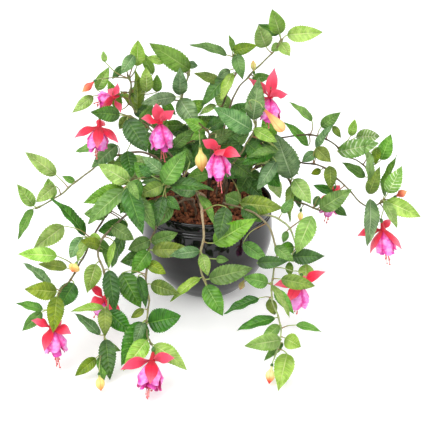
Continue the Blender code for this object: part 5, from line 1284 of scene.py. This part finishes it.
def petal(skins, basis, size, length, room, heading, span, inner, seed):
    """A convex outer pouch, or an inner petal that shows in the mouth."""
    neck, axis, side, third = (arr(v) for v in basis)
    rows, half = 16, 8
    T, U = np.meshgrid(np.linspace(0, 1, rows + 1), np.linspace(-1, 1, 2 * half + 1),
                       indexing="ij")
    out = np.abs(U)
    reach = length * (0.92 + 0.16 * rnd(seed, 1)) * (1.08 if inner else 1.0)
    hem = 1 - 0.20 * out ** 2.4 - 0.05 * np.cos(U * 4.3 + 6 * rnd(seed, 2)) * out
    Z = T * reach * hem
    R = np.interp(Z / length, RING_SHARES, RING_RADII) * size
    A = heading + (U * span * 0.5 * (0.50 + 0.50 * smooth(0.0, 0.40, T))
                   * (1 - 0.10 * T ** 3))
    A = A + 0.06 * np.sin(T * 5 + 5 * rnd(seed, 8)) * T
    if inner:
        R = R * (0.70 + 0.08 * rnd(seed, 3))
    dip = 0.0036 * size * out ** 2.0 * smooth(0.08, 0.55, T)
    R = R * (1.02 + 0.05 * np.sin(math.pi * T)) - dip + 0.0007 * U * smooth(0.1, 0.5, T)
    # the hem: turned in and then flared, with a soft ripple
    R = R - 0.0012 * size * smooth(0.62, 0.88, T) * (1 - out)
    R = R + (0.0014 + 0.0016 * rnd(seed, 4)) * size * smooth(0.84, 1.0, T)
    R = R + 0.0007 * np.sin(U * 6 + 6 * rnd(seed, 5)) * T ** 2
    clearance = 0.0008 + (0.0012 if inner else 0.0)
    R = np.minimum(R, room_at(room, Z, A, length) * 0.93 - clearance)
    R = np.maximum(R, 0.0009)
    grid = (neck + axis * Z[..., None] + side * (np.cos(A) * R)[..., None]
            + third * (np.sin(A) * R)[..., None])
    skins.shell(grid, np.stack([0.5 + 0.5 * U, T], -1), int(inner), rnd(seed, 9), PETAL_THICK)


def stamen(skins, basis, length, reach, number, q):
    """A filament and its anther; the first one is the longest and thickest."""
    neck, axis, side, third = basis
    longest = q == 0
    angle = 2 * math.pi * (q + 0.5 * rnd(number, q, 3)) / 6
    share = 1.0 if longest else 0.76 + 0.20 * rnd(number, q, 2)
    spread = 0.0012 if longest else 0.0020 + 0.0030 * rnd(number, q, 6)
    out = side * math.cos(angle) + third * math.sin(angle)
    start = neck + axis * (length * 0.35)
    end = neck + axis * max(reach * share, length + 0.002) + out * spread
    middle = start.lerp(end, 0.55) + out * (0.0010 * math.sin(q * 2.1))
    path = spline([start, middle, end], 0.0035)
    skins.tube(path, [0.00060 if longest else 0.00048] * len(path), 6, 2, rnd(number, q, 8))
    way = (path[-1] - path[-2]).normalized()
    radius = 0.00125 if longest else 0.00095
    skins.turned(end - way * 0.0006, way,
                 [(0.0, 0.0003), (0.0004, radius * 0.8), (0.0012, radius),
                  (0.0022, radius * 0.85), (0.0028, radius * 0.2)],
                 8, 3, rnd(number, q, 1), lobes=2, depth=0.15)


def make_corolla(flower, number, neck, axis, reach):
    """Five outer petals, four inner ones and six stamens."""
    size = flower.size
    side = perpendicular(axis)
    third = axis.cross(side)
    basis = neck, axis, side, third
    length = min(0.034 * size, reach * 0.74)
    room = room_table(flower, neck, axis, side, third, length)
    start = 6.3 * rnd(number, 40)
    skins = Skins()
    for q in range(5):
        heading = start + 2 * math.pi * q / 5 + 0.16 * (rnd(number, q) - 0.5)
        petal(skins, basis, size, length * 0.98, room, heading, span=math.radians(84),
              inner=False, seed=number * 17 + q)
    for q in range(4):
        heading = start + 0.5 + 2 * math.pi * q / 4 + 0.3 * (rnd(number, q, 4) - 0.5)
        petal(skins, basis, size, length * 0.98, room, heading, span=math.radians(96),
              inner=True, seed=number * 19 + q + 60)
    for q in range(6):
        stamen(skins, basis, length, reach, number, q)
    name = flower.name + "_corolla"
    carry(skins.object(name + "_fine", [PETAL, PETAL_IN, FILAMENT, ANTHER], SKIN_LOW), name)


def make_flower(flower, number):
    socket, neck, tip = flower_points(flower)
    axis = (tip - neck).normalized()
    make_calyx(flower, number, socket, neck, axis)
    make_corolla(flower, number, neck, axis, (tip - neck).length)


# ------------------------------------------------------------------ buds
BUD_OVARY = [(-0.0012, 0.0004), (-0.0004, 0.0014), (0.0010, 0.0020), (0.0026, 0.0021),
             (0.0040, 0.0016), (0.0046, 0.0010)]
# (share of the length, share of the radius)
BUD_PROFILE = [(0.08, 0.24), (0.16, 0.26), (0.24, 0.31), (0.32, 0.46), (0.39, 0.70),
               (0.47, 0.91), (0.56, 1.0), (0.65, 0.96), (0.74, 0.80), (0.83, 0.55),
               (0.90, 0.32), (0.96, 0.14), (1.0, 0.012)]
BLUNT_PROFILE = [(0.06, 0.24), (0.16, 0.29), (0.28, 0.38), (0.40, 0.52), (0.52, 0.70),
                 (0.64, 0.88), (0.75, 0.98), (0.84, 0.98), (0.91, 0.84), (0.96, 0.58),
                 (0.99, 0.28), (1.0, 0.03)]


def make_bud(bud, number):
    socket, neck, tip = hang_points(bud)
    radius = bud.radius / 1000.0
    axis = (tip - neck).normalized()
    length = (tip - neck).length
    gap = (neck - socket).length
    end = neck + axis * 0.0005
    if bud.name == "bud_top_right":
        # blunt, on a stalk that arches forward
        stalk = spline([socket, socket.lerp(neck, 0.30) + Vector((-0.001, -0.003, 0.006)),
                        socket.lerp(neck, 0.70) + Vector((0.001, -0.002, 0.005)), end], 0.002)
        profile = scaled_profile(BLUNT_PROFILE, length, radius)
    else:
        stalk = spline([socket, socket.lerp(neck, 0.5) + Vector((0, 0, gap * 0.12)), end],
                       max(gap / 8, 0.0012))
        profile = [(length * s, max(radius * w, 0.0002 if s > 0.9 else 0.0012))
                   for s, w in BUD_PROFILE]
    skins = Skins()
    radii = [0.00065 + 0.00025 * (q / (len(stalk) - 1)) for q in range(len(stalk))]
    skins.tube(stalk, radii, 7, 0, rnd(number))
    skins.turned(neck, axis, BUD_OVARY, 12, 1, rnd(number, 2), lobes=4, depth=0.06)
    halved = []
    for (z0, r0), (z1, r1) in zip(profile, profile[1:]):
        halved += [(z0, r0), (z0 * 0.5 + z1 * 0.5, r0 * 0.5 + r1 * 0.5)]
    halved.append(profile[-1])
    skins.turned(neck, axis, halved, 24, 2, rnd(number, 3), lobes=4, depth=-0.045)
    carry(skins.object(bud.name + "_fine", [STALK, OVARY, BUD_SKINS[bud.skin]], SKIN_LOW),
          bud.name)


# ------------------------------------------------------------------ pot and filling
# Pot section in mm as (radius, height): foot, outside, grooved rim, inside, inner floor
POT_FOOT = [(20, 0), (36, 0), (38.5, 0)]
POT_OUTSIDE = [(39, 0), (44.5, 1.0), (52, 5.5), (60, 12.6), (68, 21.5), (75.5, 30.0), (82, 39),
               (86.6, 46.5), (90.4, 54.5), (94.0, 63.5), (96.8, 73), (99.1, 82), (100.6, 91),
               (101.2, 104), (100.9, 114), (100.2, 124), (99.8, 129.6)]
POT_RIM = [(99.6, 130.4), (99.2, 131.0), (98.5, 131.3), (98.2, 131.9), (98.2, 133.2),
           (98.5, 133.8), (99.0, 134.1), (99.1, 134.7), (98.9, 135.3), (98.4, 135.6),
           (98.1, 136.3), (98.1, 137.6), (98.5, 138.2), (99.1, 138.6), (99.5, 139.4),
           (99.65, 141.5), (99.7, 145.0), (99.7, 149.2), (99.5, 150.6), (99.0, 151.7),
           (98.2, 152.3), (97.4, 152.5), (96.5, 152.2), (95.8, 151.5), (95.3, 150.4),
           (95.1, 149.0)]
POT_INSIDE = [POT_RIM[-1], (94.8, 143), (94.8, 137), (95.6, 120), (96.6, 102), (95.6, 86),
              (91.8, 70), (85.8, 54.5), (78.0, 40.5), (64.0, 23.5), (47, 7.4)]
POT_FLOOR = [(44, 6.5), (20, 6.5)]
POT_SEGMENTS = 160

GRAINS = 1500
GRAIN_FIELD = 0.0915         # radius of the spiral the granules are laid on
GRAIN_LIMIT = 0.0912         # farthest a granule's centre lies from the axis
GOLDEN_ANGLE = math.pi * (3 - math.sqrt(5))


def in_metres(section):
    return [(r / 1000, z / 1000) for r, z in section]


def curved(section):
    """A smooth section through the points."""
    return [(p.x, p.z) for p in spline([Vector((r, 0, z)) for r, z in in_metres(section)],
                                       0.0035)]


def make_pot():
    section = (in_metres(POT_FOOT) + curved(POT_OUTSIDE) + in_metres(POT_RIM)
               + curved(POT_INSIDE)[1:] + in_metres(POT_FLOOR))
    angle = np.linspace(0, 2 * math.pi, POT_SEGMENTS, endpoint=False)
    skins = Skins()
    skins.loft([np.stack([np.cos(angle) * r, np.sin(angle) * r, np.full(POT_SEGMENTS, z)], -1)
                for r, z in section], 0, 0.5)
    carry(skins.object("cover_pot_fine", [GLAZE]), "cover_pot")


def granule(i, ball):
    """Points of one lumpy clay granule in its place on the spiral."""
    angle = i * GOLDEN_ANGLE + 0.5 * rnd(i, 1)
    r = GRAIN_FIELD * math.sqrt((i + 0.5) / GRAINS) + 0.0022 * (rnd(i, 2) - 0.5)
    r = min(GRAIN_LIMIT, max(0.0, r))
    z = (0.1398 + 0.0036 * rnd(i, 3) + 0.0008 * math.sin(7 * angle)
         + (0.0012 if r < 0.052 else 0.0))
    size = 0.0021 + 0.0008 * rnd(i, 4) ** 1.5
    pivot = Vector((rnd(i, 6) - 0.5, rnd(i, 7) - 0.5, rnd(i, 8) - 0.5 + 0.01)).normalized()
    turn = np.array(Matrix.Rotation(6.3 * rnd(i, 5), 3, pivot))
    stretch = np.array([1.0 + 0.35 * (rnd(i, 9) - 0.3), 1.0 + 0.2 * (rnd(i, 10) - 0.5),
                        0.85 + 0.2 * rnd(i, 11)])
    lumps = (1 + 0.10 * np.sin(ball[:, 0] * 4.1 + 9 * rnd(i, 12))
             * np.sin(ball[:, 1] * 3.7 + 7 * rnd(i, 13))
             + 0.07 * np.sin(ball[:, 2] * 6.3 + 5 * rnd(i, 14)))
    points = ball * stretch * lumps[:, None] * size
    return points @ turn.T + np.array([r * math.cos(angle), r * math.sin(angle), z])


def make_granules():
    bm = bmesh.new()
    bmesh.ops.create_icosphere(bm, subdivisions=2, radius=1.0)
    ball = np.array([v.co[:] for v in bm.verts])
    faces = np.array([[v.index for v in f.verts] for f in bm.faces])
    bm.free()
    points = np.concatenate([granule(i, ball) for i in range(GRAINS)])
    corners = np.concatenate([faces + i * len(ball) for i in range(GRAINS)]).ravel()
    mesh = new_mesh("loose_granules", points, corners, np.arange(0, corners.size, 3))
    add_attribute(mesh, "seed", "POINT",
                  np.repeat([rnd(i, 15) for i in range(GRAINS)], len(ball)))
    mesh.update(calc_edges=True)
    mesh.validate()
    mesh.shade_smooth()
    mesh.materials.append(GRANULE)
    granules = add_object("loose_granules", mesh)
    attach(granules, "planting")


def repaint(node, *colours, **settings):
    """A CAD piece that is kept as it is, in a mottled material."""
    materials = NODES[node].data.materials
    materials.clear()
    materials.append(mottled_material(*colours, **settings))


# ------------------------------------------------------------------ floor, light, camera
FLOOR_REACH = 40
FLOOR_DROP = 0.0004
WORLD_STRENGTH = 0.29
# name, position, aim, size, watts
SOFTBOXES = [
    ("key", (-1.4, -1.7, 2.4), (0.0, 0.0, 0.15), (1.2, 1.2), 20.0),
    ("card_left", (-1.5, -0.5, 0.55), (0.0, 0.0, 0.12), (1.2, 1.0), 4.5),
    ("card_right", (1.5, -0.5, 0.55), (0.0, 0.0, 0.12), (1.2, 1.0), 6.0),
]
# very large, far, soft overhead panels: name, direction towards it, angle (deg), strength
PANELS = [
    ("panel_left", (-0.45, -0.75, 1.5), 70.0, 2.0),
    ("panel_right", (0.7, 0.1, 1.3), 90.0, 1.1),
]


def make_floor():
    mesh = bpy.data.meshes.new("floor")
    far = FLOOR_REACH
    mesh.from_pydata([(-far, -far, 0), (far, -far, 0), (far, far, 0), (-far, far, 0)], [],
                     [(0, 1, 2, 3)])
    mesh.materials.append(floor_material())
    floor = add_object("floor", mesh)
    floor.location = (0, 0, -FLOOR_DROP)


def make_world(scene):
    scene.world = bpy.data.worlds.new("studio")
    scene.world.use_nodes = True
    background = scene.world.node_tree.nodes["Background"]
    background.inputs[0].default_value = (1.0, 1.0, 1.0, 1.0)
    background.inputs[1].default_value = WORLD_STRENGTH


def softbox(name, position, aim, size, watts):
    light = bpy.data.lights.new(name, "AREA")
    light.shape = "RECTANGLE"
    light.size, light.size_y = size
    light.energy = watts
    box = add_object(name, light)
    box.location = position
    box.rotation_euler = (Vector(aim) - Vector(position)).to_track_quat("-Z", "Y").to_euler()


def sky_panel(name, toward, angle, strength):
    light = bpy.data.lights.new(name, "SUN")
    light.energy = strength
    light.angle = math.radians(angle)
    add_object(name, light).rotation_euler = Vector(toward).to_track_quat("Z", "Y").to_euler()


def make_camera(scene):
    """The camera stands at the layout's eye and frames the whole sheet."""
    lens = bpy.data.cameras.new("camera")
    lens.sensor_width = 36.0
    lens.lens = 36.0 * SHEET_DISTANCE / SHEET_SIDE
    lens.clip_start, lens.clip_end = 0.05, 60.0
    camera = add_object("camera", lens)
    camera.location = EYE
    camera.rotation_euler = (math.radians(90.0 - LOOK_DOWN), 0.0, 0.0)
    scene.camera = camera
    view = scene.view_settings
    view.view_transform = "Standard"
    view.look = "None"
    view.exposure = 0.0
    view.gamma = 1.0


# ------------------------------------------------------------------ build
FLOWERS = [settled_hanging(flower) for flower in FLOWERS]
BUDS = [settled_hanging(bud) for bud in BUDS]
for number, stem in enumerate(STEMS, 1):
    make_stem(stem, number)
for number, flower in enumerate(FLOWERS):
    make_flower(flower, number)
for number, bud in enumerate(BUDS):
    make_bud(bud, number)
make_pot()
make_granules()
# painted shade: the bed under the loose granules is a much darker clay, standing for the shade in
# the gaps between them
repaint("clay_granules", "clay_bed", lin(30, 12, 8), lin(66, 28, 18),
        rough=0.9, scale=260.0, strength=0.9)
repaint("stem_anchor", "anchor_moss", lin(34, 40, 20), lin(66, 66, 36),
        rough=0.8, scale=180.0, strength=0.6)
repaint("grow_pot", "liner_black", (0.012, 0.012, 0.012, 1), (0.024, 0.024, 0.024, 1),
        rough=0.5, scale=90.0, strength=0.1)
repaint("ballast_weight", "cast_grey", lin(150, 146, 138), lin(182, 178, 168),
        rough=0.9, scale=110.0, strength=0.7)
make_floor()
make_world(bpy.context.scene)
for box in SOFTBOXES:
    softbox(*box)
for panel in PANELS:
    sky_panel(*panel)
make_camera(bpy.context.scene)
